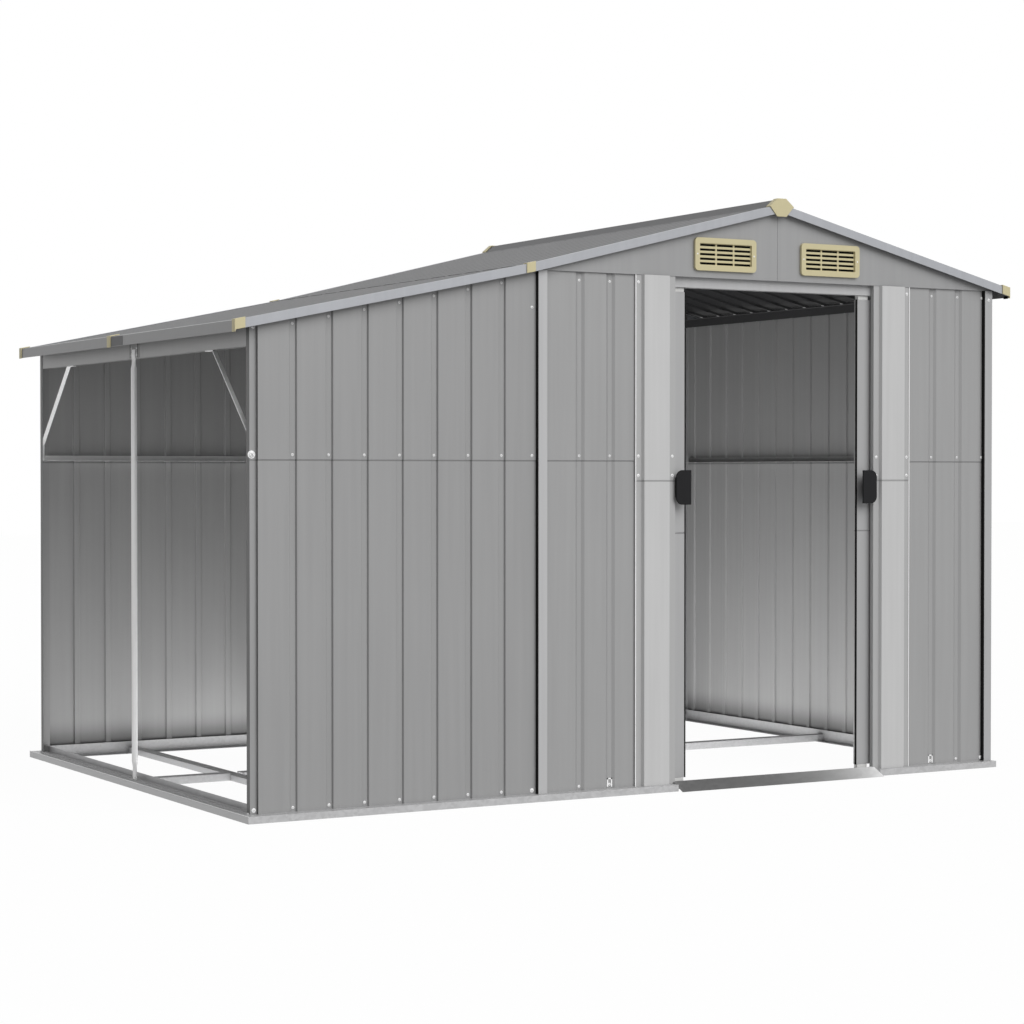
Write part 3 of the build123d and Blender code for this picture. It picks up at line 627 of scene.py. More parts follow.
def louvre_tree() -> NodeTree:
    """Build the tree of a vent's louvre blades, one over each slot.

    Returns:
        The tree, with X along the vent, Y outward and Z up.
    """
    sizes = ("Pitch X", "Pitch Z", "Slot Width", "Blade", "Blade Sheet", "Tilt")
    louvre = NodeTree("louvre_blades", sizes, ("Columns", "Rows"), ("Plastic",))
    board, given = louvre.board, louvre.given
    width, height = (
        board.sum("MULTIPLY", board.sum("SUBTRACT", given[count], 1.0), given[pitch])
        for count, pitch in (("Columns", "Pitch X"), ("Rows", "Pitch Z"))
    )
    rows = {"Vertices X": given["Columns"], "Vertices Y": given["Rows"]}
    grid = board.out("GeometryNodeMeshGrid", {"Size X": width, "Size Y": height, **rows})
    upright = board.out("GeometryNodeTransform", {"Geometry": grid, "Rotation": (math.pi / 2, 0.0, 0.0)})
    block = board.vector(given["Slot Width"], given["Blade Sheet"], given["Blade"])
    blade = board.out("GeometryNodeMeshCube", {"Size": block})
    tilted = board.out("GeometryNodeTransform", {"Geometry": blade, "Rotation": board.vector(given["Tilt"])})
    points = board.out("GeometryNodeMeshToPoints", {"Mesh": upright})
    placed = board.out("GeometryNodeInstanceOnPoints", {"Points": points, "Instance": tilted})
    louvre.end(board.coat(board.out("GeometryNodeRealizeInstances", {0: placed}), given["Plastic"]))
    return louvre


def scene_object(name: str, data: bpy.types.ID) -> bpy.types.Object:
    """Put a new object in the scene.

    Args:
        name: The object's name.
        data: Its mesh, light or camera.

    Returns:
        The object.
    """
    made = bpy.data.objects.new(name, data)
    bpy.context.scene.collection.objects.link(made)
    return made


def node_box(node: str) -> tuple[Vector, Vector]:
    """The lowest and the highest corner of a CAD node."""
    low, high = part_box(node)
    return Vector(low), Vector(high)


def node_points(node: str) -> list[Vector]:
    """The corners of a CAD node's mesh."""
    return [vertex.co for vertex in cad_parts[node].data.vertices]


def smooth_bends(mesh: Mesh) -> Mesh:
    """Shade a mesh smooth round its bends and flat across its large faces.

    Args:
        mesh: The mesh, which the result takes the place of.

    Returns:
        The shaded mesh.
    """
    mesh.polygons.foreach_set("use_smooth", [True] * len(mesh.polygons))
    mesh.set_sharp_from_angle(angle=SMOOTH_ANGLE)
    carrier = scene_object("carrier", mesh)
    weights = carrier.modifiers.new("weights", "WEIGHTED_NORMAL")
    weights.keep_sharp = True
    graph = bpy.context.evaluated_depsgraph_get()
    shaded = bpy.data.meshes.new_from_object(
        carrier.evaluated_get(graph), preserve_all_data_layers=True, depsgraph=graph
    )
    carrier.modifiers.remove(weights)
    bpy.data.objects.remove(carrier)
    return shaded


def ease_edges(mesh: Mesh, width: float) -> None:
    """Join a CAD copy's triangles into faces and round its sharp edges.

    Args:
        mesh: The copied mesh.
        width: The bevel's width, in metres.
    """
    shape = bmesh.new()
    shape.from_mesh(mesh)
    bmesh.ops.remove_doubles(shape, verts=shape.verts, dist=WELD)
    bmesh.ops.dissolve_limit(
        shape, angle_limit=FLAT_ANGLE, verts=shape.verts, edges=shape.edges, delimit=set()
    )
    sharp = [edge for edge in shape.edges if edge.is_manifold and edge.calc_face_angle(0.0) > SHARP_ANGLE]
    bmesh.ops.bevel(
        shape, geom=sharp, offset=width, segments=2, profile=0.5, affect="EDGES", clamp_overlap=True
    )
    shape.to_mesh(mesh)
    shape.free()
    mesh.update()


def box_mesh(low: Sequence[float], high: Sequence[float], material: Material) -> Mesh:
    """Make a plain block.

    Args:
        low: Its lowest corner.
        high: Its highest corner.
        material: Its finish.

    Returns:
        The block's mesh.
    """
    mesh = bpy.data.meshes.new("block")
    shape = bmesh.new()
    size = Vector(high) - Vector(low)
    place = Matrix.Translation((Vector(low) + Vector(high)) / 2) @ Matrix.Diagonal((*size, 1.0))
    bmesh.ops.create_cube(shape, size=1.0, matrix=place)
    shape.to_mesh(mesh)
    shape.free()
    mesh.materials.append(material)
    return mesh


def bar_mesh(first: Sequence[Vector], second: Sequence[Vector], material: Material) -> Mesh:
    """Make a bar between two ends with the same number of corners.

    Args:
        first: The corners of one end, in order round it.
        second: The corners of the other end.
        material: Its finish.

    Returns:
        The bar's mesh, with its faces outward.
    """
    mesh = bpy.data.meshes.new("bar")
    count = len(first)
    sides = [(i, (i + 1) % count, count + (i + 1) % count, count + i) for i in range(count)]
    mesh.from_pydata([*first, *second], [], [tuple(range(count)), tuple(range(count, 2 * count)), *sides])
    shape = bmesh.new()
    shape.from_mesh(mesh)
    bmesh.ops.recalc_face_normals(shape, faces=shape.faces)
    shape.to_mesh(mesh)
    shape.free()
    mesh.materials.append(material)
    return mesh


def joined(meshes: Sequence[Mesh], name: str) -> Mesh:
    """Join meshes with the same materials into one.

    Args:
        meshes: The meshes, which are removed.
        name: The new mesh's name.

    Returns:
        The joined mesh.
    """
    shape = bmesh.new()
    whole = bpy.data.meshes.new(name)
    for material in meshes[0].materials:
        whole.materials.append(material)
    for mesh in meshes:
        shape.from_mesh(mesh)
        bpy.data.meshes.remove(mesh)
    shape.to_mesh(whole)
    shape.free()
    return whole


def second_finish(mesh: Mesh, material: Material, chosen: Callable[[bpy.types.MeshPolygon], bool]) -> None:
    """Give some faces of a mesh another finish.

    Args:
        mesh: The mesh, which has one finish so far.
        material: The other finish.
        chosen: Tells which faces get it.
    """
    mesh.materials.append(material)
    for face in mesh.polygons:
        face.material_index = int(chosen(face))


def axes_matrix(origin: Vector, along: Vector, inward: Vector) -> Matrix:
    """The matrix from a sheet to the shed, by its origin, its X and its Y."""
    turned = Matrix((along, inward, along.cross(inward))).transposed().to_4x4()
    return Matrix.Translation(origin) @ turned


class Workshop:
    """Turns meshes into finished pieces of the shed."""

    def __init__(self) -> None:
        """Make the finishes and the node trees."""
        self.palette = Palette()
        self.sheets = ribbed_sheet_tree()
        self.screws = screw_tree()
        self.louvres = louvre_tree()

    def piece(
        self, mesh: Mesh, name: str, slot: Slot, body: Body = Body.SHED, stands_for: Iterable[str] = ()
    ) -> Mesh:
        """Make a mesh a piece of the shed.

        Args:
            mesh: The finished mesh, in place.
            name: The piece's name.
            slot: The record's material slot, which is not used.
            body: The body that it rides on.
            stands_for: CAD nodes that it replaces.

        Returns:
            The piece's own mesh.
        """
        mesh = smooth_bends(mesh)
        mesh.name = name
        made = scene_object(name, mesh)
        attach(made, body.value)
        nodes = tuple(stands_for)
        if nodes:
            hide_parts(*nodes)
        LOG.info("%s: %d faces on %s", name, len(mesh.polygons), body.value)
        return made.data

    def softened(
        self, node: str, material: Material, slot: Slot, width: float, body: Body = Body.SHED
    ) -> Mesh:
        """Replace a CAD node by a copy with its edges eased.

        Args:
            node: The CAD node.
            material: The copy's finish.
            slot: The record's material slot.
            width: How far the edges are eased, in metres.
            body: The body that it rides on.

        Returns:
            The new piece's mesh.
        """
        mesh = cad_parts[node].data.copy()
        if width:
            ease_edges(mesh, width)
        mesh.materials.clear()
        mesh.materials.append(material)
        return self.piece(mesh, f"{node}_dressed", slot, body, (node,))

    def screw_row(self, places: Sequence[Place], name: str, size: float = 1.0) -> None:
        """Set a screw at each place on the shed.

        Args:
            places: Points and the way that each screw faces.
            name: The piece's name.
            size: Scale of the screw, where 1 is a washer 12.8 mm across.
        """
        seed = bpy.data.meshes.new(f"{name}_seed")
        seed.from_pydata([tuple(point) for point, _ in places], [], [])
        aim = seed.attributes.new("aim", "FLOAT_VECTOR", "POINT")
        aim.data.foreach_set("vector", [value for _, way in places for value in way])
        sizes = {"Washer": 0.0064, "Head": 0.0054, "Height": 0.003, "Slot": 0.0008}
        values = {label: length * size for label, length in sizes.items()}
        values |= {"Zinc": self.palette.screw, "Recess": self.palette.recess}
        self.piece(self.screws.run(name, values, seed), name, Slot.ZINC)


@dataclass
class Assembly:
    """A sub-assembly of the shed, which builds its pieces in a workshop."""

    shop: Workshop

    @property
    def look(self) -> Palette:
        """The workshop's finishes."""
        return self.shop.palette

    def build(self) -> None:
        """Build the pieces."""
        raise NotImplementedError


@dataclass
class RibSizes:
    """Sizes of the pressed ribs, in metres."""

    pitch: float = 0.111
    mouth: float = 0.023
    floor: float = 0.018
    depth: float = 0.0068
    edge: float = 0.07
    bend: float = 0.0022
    sheet: float = 0.0008
    shift: float = 0.0

    def count(self, length: float) -> int:
        """How many ribs a sheet of that length has."""
        return int((length - 2 * self.edge + ROUNDING) // self.pitch) + 1

    def centres(self, length: float) -> list[float]:
        """Where the ribs lie, from the middle of a sheet of that length."""
        count = self.count(length)
        return [self.shift + (number - (count - 1) / 2) * self.pitch for number in range(count)]

    def values(self, length: float, paint: Material, back: Material) -> dict[str, object]:
        """The node tree's inputs for a sheet of that length, with its outer and its inner finish."""
        sheet = {"Length": length, "Ribs": self.count(length), "Paint": paint, "Back": back}
        return {**named_inputs(self), **sheet}


class Facing(Enum):
    """The ways that a wall can face: along the wall seen from outside, then inward."""

    FRONT = ((1, 0, 0), (0, 1, 0))
    BACK = ((-1, 0, 0), (0, -1, 0))
    RIGHT = ((0, 1, 0), (-1, 0, 0))
    LEFT = ((0, -1, 0), (1, 0, 0))


@dataclass
class WallSheets(Assembly):
    """One wall: a lower sheet, and an upper one that laps over it, with rows of screws in the ribs."""

    node: str
    facing: Facing
    ribs: RibSizes
    paint: Material
    lap: float = 0.0009
    low_row: float = 0.011
    seam_row: float = SEAM_HEIGHT + 0.013
    top_row: float = 0.024
    end_inset: float = 0.011
    ends: tuple[int, ...] = ()
    stretch: float = 0.0

    def build(self) -> None:
        """Build the sheets and their screws."""
        low, high = node_box(self.node)
        along, inward = (Vector(way) for way in self.facing.value)
        face = low if inward.x + inward.y > 0 else high
        origin = (low + high) / 2
        origin.z = 0.0
        axis = 0 if inward.x else 1
        origin[axis] = face[axis]
        length = abs((high - low).dot(along))
        matrix = axes_matrix(origin, along, inward)
        top, rise = self.top_line(matrix.inverted(), length)
        top += rise * self.stretch / 2
        matrix = matrix @ Matrix.Translation((self.stretch / 2, 0.0, 0.0))
        ribs = replace(self.ribs, shift=self.ribs.shift - self.stretch / 2)
        values = ribs.values(length, self.paint, self.look.wall_back)
        values["Length"] = length + self.stretch
        lower = dict(values, Low=low.z, High=SEAM_HEIGHT, Rise=0.0, Proud=0.0)
        upper = dict(values, Low=SEAM_HEIGHT, High=top, Rise=rise, Proud=self.lap)
        mesh = joined([self.shop.sheets.run(self.node, setting) for setting in (lower, upper)], self.node)
        mesh.transform(matrix)
        self.shop.piece(mesh, f"{self.node}_sheets", Slot.WALL, stands_for=(self.node,))
        rows = ((low.z + self.low_row, 0.0), (self.seam_row, 0.0), (top - self.top_row, rise))
        centres = ribs.centres(length)
        spots = [(centre, ribs.depth, row + slope * centre) for centre in centres for row, slope in rows]
        reach = length / 2 - self.end_inset
        spots += [(end * reach, -self.lap, row) for end in self.ends for row, _ in rows]
        places = [(matrix @ Vector(spot), -inward) for spot in spots]
        self.shop.screw_row(places, f"{self.node}_screws")

    def top_line(self, to_sheet: Matrix, length: float) -> tuple[float, float]:
        """Find the wall's top edge from its CAD node.

        Args:
            to_sheet: The matrix from the shed to the sheet.
            length: The wall's length.

        Returns:
            The height at the middle and the rise for each metre along.
        """
        points = [to_sheet @ point for point in node_points(self.node)]
        end = 0.499 * length
        left, right = (max(point.z for point in points if way * point.x > end) for way in (-1, 1))
        return (left + right) / 2, (right - left) / length


@dataclass
class RoofSheets(Assembly):
    """One slope of the roof, with its ribs down the fall and screws along the beams."""

    node: str
    way: int
    ribs: RibSizes
    screw_shares: tuple[float, ...] = (0.03, 0.5, 0.97)
    tuck: float = 0.0
    sink: float = 0.0

    def build(self) -> None:
        """Build the sheet and its screws."""
        points = node_points(self.node)
        crest = max(points, key=lambda point: round(point.z, 6))
        x_high = max(point.x * -self.way for point in points if point.z > crest.z - TOUCH) * -self.way
        low_side = max(points, key=lambda point: point.x * self.way)
        low_top = max((p for p in points if abs(p.x - low_side.x) < TOUCH), key=lambda p: p.z)
        low, high = node_box(self.node)
        start = Vector((x_high, (low.y + high.y) / 2, crest.z))
        stop = Vector((low_top.x, start.y, low_top.z))
        fall = (stop - start).normalized()
        start -= self.tuck * fall
        along = Vector((0.0, -self.way, 0.0))
        inward = fall.cross(along)
        matrix = axes_matrix(start + self.sink * inward, along, inward)
        length = high.y - low.y
        run = (stop - start).length
        # The sheet's underside takes the near-black painted shade.
        values = self.ribs.values(length, self.look.roof, self.look.roof_back)
        mesh = self.shop.sheets.run(self.node, dict(values, Low=0.0, High=run, Rise=0.0, Proud=0.0))
        mesh.transform(matrix)
        self.shop.piece(mesh, f"{self.node}_sheet", Slot.ROOF, stands_for=(self.node,))
        spots = [
            matrix @ Vector((centre, self.ribs.depth, share * run))
            for centre in self.ribs.centres(length)
            for share in self.screw_shares
        ]
        self.shop.screw_row([(spot, -inward) for spot in spots], f"{self.node}_screws")


@dataclass
class GableVents(Assembly):
    """Louvred vents: a rounded frame, near-black blades behind its slots as painted shade, and a screw at
    each side.
    """

    node: str = "gable_vents"
    moulded: float = 0.0015
    offset: float = 0.199
    width: float = 0.226
    depth: float = 0.009
    rim: float = 0.017
    pitch_x: float = 0.065
    pitch_z: float = 0.014
    slot_width: float = 0.06
    columns: int = 3
    rows: int = 5
    blade: float = 0.012
    blade_sheet: float = 0.0014
    tilt: float = math.radians(38.0)
    blade_back: float = 0.0035
    screw: float = 0.42

    def build(self) -> None:
        """Build the frames, blades and screws."""
        self.shop.softened(self.node, self.look.cap, Slot.CAP, self.moulded)
        low, high = node_box(self.node)
        middle = (low + high) / 2
        # The blades take the near-black finish: painted shade seen through the slots.
        values = {**named_inputs(self), "Plastic": self.look.gap}
        blades = []
        screws = []
        for turn, face in ((0.0, low.y), (math.pi, high.y)):
            outward = Vector((0.0, -math.cos(turn), 0.0))
            for side in (-1, 1):
                x = middle.x + side * self.offset
                back = Vector((x, face, middle.z)) - outward * (self.depth + self.blade_back)
                mesh = self.shop.louvres.run("blades", values)
                mesh.transform(Matrix.Translation(back) @ Matrix.Rotation(turn, 4, "Z"))
                blades.append(mesh)
                reach = (self.width - self.rim) / 2
                screws += [(Vector((x + end * reach, face, middle.z)), outward) for end in (-1, 1)]
        self.shop.piece(joined(blades, "vent_blades"), "vent_blades", Slot.CAP)
        self.shop.screw_row(screws, "vent_screws", self.screw)


@dataclass
class DoorSet(Assembly):
    """The doorway: jambs, tracks, ramp and the two sliding doors."""

    strip: float = 0.011
    jamb_rows: tuple[float, ...] = (0.955, 1.013, 1.535)
    jamb_screw: float = 0.75
    jamb_edge: float = 0.00035
    raised: float = 0.004
    lift: float = 0.006
    hem: float = 0.0024
    hem_proud: float = 0.0016
    track_edge: float = 0.0004
    # Sizes of the near-black strip beside each leaf's leading edge: painted shade.
    seal: float = 0.0045
    seal_proud: float = 0.0006
    leaf_edge: float = 0.0003
    slider_edge: float = 0.0015
    handle_edge: float = 0.0018

    def build(self) -> None:
        """Build the doorway and the doors."""
        shop, look = self.shop, self.look
        places = self.jamb("left_jamb", 1) + self.jamb("right_jamb", -1)
        shop.screw_row(places, "jamb_screws", self.jamb_screw)
        # The header track takes the lit copy of the post paint.
        tracks = {"header_track": look.post, "bottom_track": look.zinc, "door_ramp": look.ramp}
        for node, finish in tracks.items():
            shop.softened(node, finish, Slot.ZINC, self.track_edge)
        for side, body in (("left", Body.LEFT_DOOR), ("right", Body.RIGHT_DOOR)):
            shop.softened(f"{side}_door_leaf", look.leaf, Slot.DOOR, self.leaf_edge, body)
            shop.softened(f"{side}_door_sliders", look.slider, Slot.SLIDER, self.slider_edge, body)
            shop.softened(f"{side}_door_handle", look.handle, Slot.HANDLE, self.handle_edge, body)
            # A near-black strip beside each leaf's leading edge: painted shade.
            low, high = node_box(f"{side}_door_leaf")
            lead = (high.x, high.x + self.seal) if side == "left" else (low.x - self.seal, low.x)
            back = high.y if side == "left" else low.y + self.seal
            strip = box_mesh((lead[0], low.y - self.seal_proud, low.z), (lead[1], back, high.z), look.gap)
            shop.piece(strip, f"{side}_door_seal", Slot.HANDLE, body)

    def jamb(self, node: str, way: int) -> list[Place]:
        """Build a jamb with its face lifted off its strips, the strips in painted shade, and a near-white hem
        on its outer edge as a painted highlight.

        Args:
            node: The jamb's CAD node.
            way: 1 where the doorway lies on its right, -1 on its left.

        Returns:
            The places of its screws.
        """
        low, high = node_box(node)
        front = low.y + self.raised
        step = low.y + self.raised / 2
        mesh = self.shop.softened(node, self.look.jamb, Slot.DOOR, self.jamb_edge)
        # The strips beside the raised face take the darker copy as painted shade.
        second_finish(mesh, self.look.jamb_strip, lambda face: face.center.y > step)
        for vertex in mesh.vertices:
            if vertex.co.y < step:
                vertex.co.y -= self.lift
        outer, inner = (low.x, high.x) if way > 0 else (high.x, low.x)
        near, far = sorted((outer, outer + way * self.hem))
        # The hem is a near-white strip: a painted highlight on the jamb's outer edge.
        hem = box_mesh((near, front - self.hem_proud, low.z), (far, front, high.z), self.look.hem)
        self.shop.piece(hem, f"{node}_hem", Slot.DOOR)
        rows = [(outer + way * self.strip, height) for height in self.jamb_rows]
        rows += [(inner - way * self.strip, height) for height in self.jamb_rows[:2]]
        return [(Vector((x, front, height)), FORWARD) for x, height in rows]


@dataclass
class Framework(Assembly):
    """Base rails, floor rails, posts, beams, braces, trims and caps, with their edges eased."""

    fold: float = 0.00045
    moulded: float = 0.0012
    post_face: float = 0.03
    # Near-black strips in the gaps beside the front posts: painted shade.
    seals: tuple[tuple[str, float], ...] = (("post_front_right", 0.005), ("post_front_divider", 0.003))
    seal_front: float = 0.0005
    seal_back: float = 0.0118
    seal_lap: float = 0.0004
    side_normal: float = -0.7

    def build(self) -> None:
        """Dress every piece of the framework."""
        look, fold = self.look, self.fold
        rails = ("base_rail_front", "base_rail_back", "base_rail_left", "base_rail_right")
        groups = (
            ((*rails, "floor_rails", "floor_cross_rail"), look.zinc, Slot.ZINC, fold),
            # Posts in the lit and the shaded copy of the post paint.
            (("post_front_divider", "post_back_divider"), look.post, Slot.POST, fold),
            (("post_front_right", "post_back_right"), look.corner_post, Slot.POST, fold),
            (("bay_edge_front", "bay_edge_back"), look.wall, Slot.POST, fold),
            (("bay_header_beam", "mid_rails"), look.beam, Slot.ZINC, fold),
            # Beams under the roof in the near-black painted shade.
            (("eave_beams", "roof_beams"), look.dark_beam, Slot.ZINC, fold),
            # Bay post and braces in the brightened zinc: partly painted light.
            (("bay_post", "bay_braces"), look.bright_zinc, Slot.ZINC, 0.0),
            (("front_gable", "back_gable"), look.gable, Slot.WALL, fold / 2),
            (("verge_trims_front", "verge_trims_back"), look.trim, Slot.TRIM, fold),
            (("eave_trims",), look.eave, Slot.TRIM, fold),
            (("ridge_capping",), look.roof, Slot.TRIM, fold),
            (("ridge_end_caps", "joint_caps", "eave_caps"), look.cap, Slot.CAP, self.moulded),
        )
        made = {
            node: self.shop.softened(node, finish, slot, width)
            for nodes, finish, slot, width in groups
            for node in nodes
        }
        # The bay edges' left-facing faces take painted shade.
        for node in ("bay_edge_front", "bay_edge_back"):
            second_finish(made[node], look.shadow_edge, lambda face: face.normal.x < self.side_normal)
        # The mid rail's length in the bay takes the near-white paint: a painted highlight, as lit from below.
        divider = node_box("post_front_divider")[0].x
        second_finish(made["mid_rails"], look.hem, lambda face: face.center.x < divider)
        self.add_seals()

    def add_seals(self) -> None:
        """Set near-black strips in the gaps between the front posts and the walls on their left: painted
        shade.
        """
        strips = []
        foot, top = (corner.z for corner in node_box("front_right_wall"))
        for node, width in self.seals:
            low, high = node_box(node)
            edge = high.x - self.post_face
            near = (edge - width, low.y + self.seal_front, foot)
            far = (edge + self.seal_lap, low.y + self.seal_back, top)
            strips.append(box_mesh(near, far, self.look.gap))
        self.shop.piece(joined(strips, "post_seals"), "post_seals", Slot.HANDLE)


@dataclass
class Fittings(Assembly):
    """Small fittings: the header's plate, bolts, clips, rail lips with painted highlights, the eave's splice
    and a painted shadow line under the verge.
    """

    plate: tuple[float, float, float] = (0.0016, 0.08, 0.042)
    plate_rise: float = 0.002
    plate_slot: float = 0.003
    plate_slot_depth: float = 0.0004
    plate_slot_share: float = 0.4
    plate_bolt_share: float = 0.28
    plate_bolt_rows: Span = (0.25, 0.75)
    small_screw: float = 0.8
    edge_inset: float = 0.0115
    edge_foot: float = 0.011
    edge_top: float = 0.03
    seam_bolt: tuple[float, float] = (0.006, 1.013)
    seam_bolt_size: float = 1.8
    post_inset: float = 0.015
    clip: tuple[float, float] = (0.018, 0.026)
    clip_bar: float = 0.004
    clip_rise: float = 0.004
    clip_span: Span = (0.003, 0.007)
    clip_places: tuple[tuple[str, float], ...] = (("front_left_wall", -0.15), ("front_right_wall", 1.0743))
    lip: float = 0.007
    bead: tuple[float, float] = (0.014, 0.004)
    bead_out: float = 0.006
    bead_short: float = 0.05
    rail_fold: float = 0.0016
    splice: float = 0.1
    splice_sheet: float = 0.0006
    splice_inset: float = 0.0015
    splice_gap: float = 0.001
    trim_face: float = 0.002
    cap_reach: tuple[float, float] = (0.05, 0.3)
    # Sizes of the painted shadow line under the verge.
    gap_line: float = 0.0095
    gap_lap: float = 0.0015
    gap_front: float = 0.004
    ridge_reach: float = 0.03
    end_reach: float = 0.02

    def build(self) -> None:
        """Build the fittings one by one."""
        self.header_plate()
        self.edge_screws()
        self.foot_clips()
        self.rail_lip()
        self.ledge_beads()
        self.eave_splice()
        self.verge_gap()

    def header_plate(self) -> None:
        """Bolt a joint plate over the middle of the bay's header, with near-black slots as painted shade."""
        beam = node_box("bay_header_beam")[0]
        middle = sum(corner.y for corner in node_box("bay_post")) / 2
        thick, width, height = self.plate
        foot = beam.z + self.plate_rise
        face = beam.x - thick
        near = (face, middle - width / 2, foot)
        far = (beam.x, middle + width / 2, foot + height)
        self.shop.piece(box_mesh(near, far, self.look.beam), "header_plate", Slot.ZINC)
        slots = []
        bolts = []
        half = self.plate_slot / 2
        for way in (-1, 1):
            y = middle + way * width * self.plate_slot_share
            # Near-black slots in the plate: painted shade.
            near = (face - self.plate_slot_depth, y - half, foot)
            far = (face + self.plate_slot_depth, y + half, foot + height)
            slots.append(box_mesh(near, far, self.look.gap))
            y = middle + way * width * self.plate_bolt_share
            spots = [Vector((face, y, foot + share * height)) for share in self.plate_bolt_rows]
            bolts += [(spot, Vector((-1.0, 0.0, 0.0))) for spot in spots]
        self.shop.piece(joined(slots, "header_plate_slots"), "header_plate_slots", Slot.HANDLE)
        self.shop.screw_row(bolts, "header_plate_bolts", self.small_screw)

    def edge_screws(self) -> None:
        """Screw the front edge of the bay at its foot and top, with a larger bolt at the seam."""
        low, high = node_box("bay_edge_front")
        x = low.x + self.edge_inset
        rows = (low.z + self.edge_foot, high.z - self.edge_top)
        self.shop.screw_row([(Vector((x, low.y, row)), FORWARD) for row in rows], "bay_edge_screws")
        inset, height = self.seam_bolt
        bolt = Vector((low.x + inset, low.y, height))
        self.shop.screw_row([(bolt, FORWARD)], "bay_edge_bolt", self.seam_bolt_size)
        low, high = node_box("post_front_right")
        spot = Vector((high.x - self.post_inset, low.y, high.z - self.edge_top))
        self.shop.screw_row([(spot, FORWARD)], "corner_post_screw", self.small_screw)

    def foot_clips(self) -> None:
        """Clip the foot of the front walls in the rib nearest each jamb."""
        bars = []
        width, height = self.clip
        half = width / 2
        front, back = self.clip_span
        sides = (
            (-half, -half + self.clip_bar, 0.0, height),
            (half - self.clip_bar, half, 0.0, height),
            (-half, half, height - self.clip_bar, height),
        )
        for node, x in self.clip_places:
            low = node_box(node)[0]
            base = low.z + self.clip_rise
            for left, right, bottom, top in sides:
                near = (x + left, low.y + front, base + bottom)
                far = (x + right, low.y + back, base + top)
                bars.append(box_mesh(near, far, self.look.bright_zinc))
        self.shop.piece(joined(bars, "foot_clips"), "foot_clips", Slot.ZINC)

    def rail_lip(self) -> None:
        """Turn a lip along the foot of the bay's back rail, in near-white as a painted highlight."""
        low, high = node_box("bay_back_wall")
        behind = high.y / 2
        margin = 0.01
        rail = [p for p in node_points("mid_rails") if p.y > behind and low.x - margin < p.x < high.x]
        face, foot = min(point.y for point in rail), min(point.z for point in rail)
        turned = ((face, foot), (face - self.lip, foot + self.lip), (face, foot + self.lip))
        ends = [[Vector((pick(p.x for p in rail), *corner)) for corner in turned] for pick in (min, max)]
        # The lip is near-white: a painted highlight.
        self.shop.piece(bar_mesh(*ends, self.look.hem), "bay_rail_lip", Slot.ZINC)

    def ledge_beads(self) -> None:
        """Run a stiffening bead along the ledge of the open side's rail, and a thin bright fold there as a
        painted highlight.
        """
        low, high = node_box("base_rail_left")
        edge = node_box("bay_edge_front")[0]
        width, height = self.bead
        left = edge.x - self.bead_out
        near = (left, low.y + self.bead_short, edge.z)
        far = (left + width, high.y - self.bead_short, edge.z + height)
        self.shop.piece(box_mesh(near, far, self.look.zinc), "open_side_bead", Slot.ZINC)
        # The fold is bright zinc: a painted highlight on the rail's edge.
        near = (low.x, low.y, edge.z)
        far = (low.x + self.rail_fold, high.y, edge.z + self.rail_fold)
        self.shop.piece(box_mesh(near, far, self.look.bright_zinc), "open_side_fold", Slot.ZINC)

    def eave_splice(self) -> None:
        """Lay a darker splice on the bay's eave, beside its joint cap."""
        left = node_box("eave_trims")[0].x
        out, aside = self.cap_reach
        cap = min(p.y for p in node_points("eave_caps") if p.x < left + out and abs(p.y) < aside)
        heights = [p.z for p in node_points("eave_trims") if p.x < left + self.trim_face]
        near = (left - self.splice_sheet, cap - self.splice, min(heights) + self.splice_inset)
        far = (left + self.splice_sheet, cap - self.splice_gap, max(heights) - self.splice_inset)
        self.shop.piece(box_mesh(near, far, self.look.roof), "eave_splice", Slot.TRIM)

    def verge_gap(self) -> None:
        """Lay a near-black strip under the front verge on the right slope: a painted shadow."""
        low, high = node_box("verge_trims_front")
        ridge = sum(corner.x for corner in node_box("ridge_capping")) / 2
        points = [p for p in node_points("verge_trims_front") if p.x > ridge + self.ridge_reach]
        line = []
        for pick in (min, max):
            x = pick(point.x for point in points)
            foot = min(point.z for point in points if abs(point.x - x) < self.end_reach)
            line.append((x, foot + self.gap_lap))
        (left, left_z), (right, right_z) = line
        drop = self.gap_line
        outline = ((left, left_z), (right, right_z), (right, right_z - drop), (left, left_z - drop))
        ends = [[Vector((x, y, z)) for x, z in outline] for y in (low.y + self.gap_front, high.y)]
        self.shop.piece(bar_mesh(*ends, self.look.gap), "verge_gap_line", Slot.HANDLE)


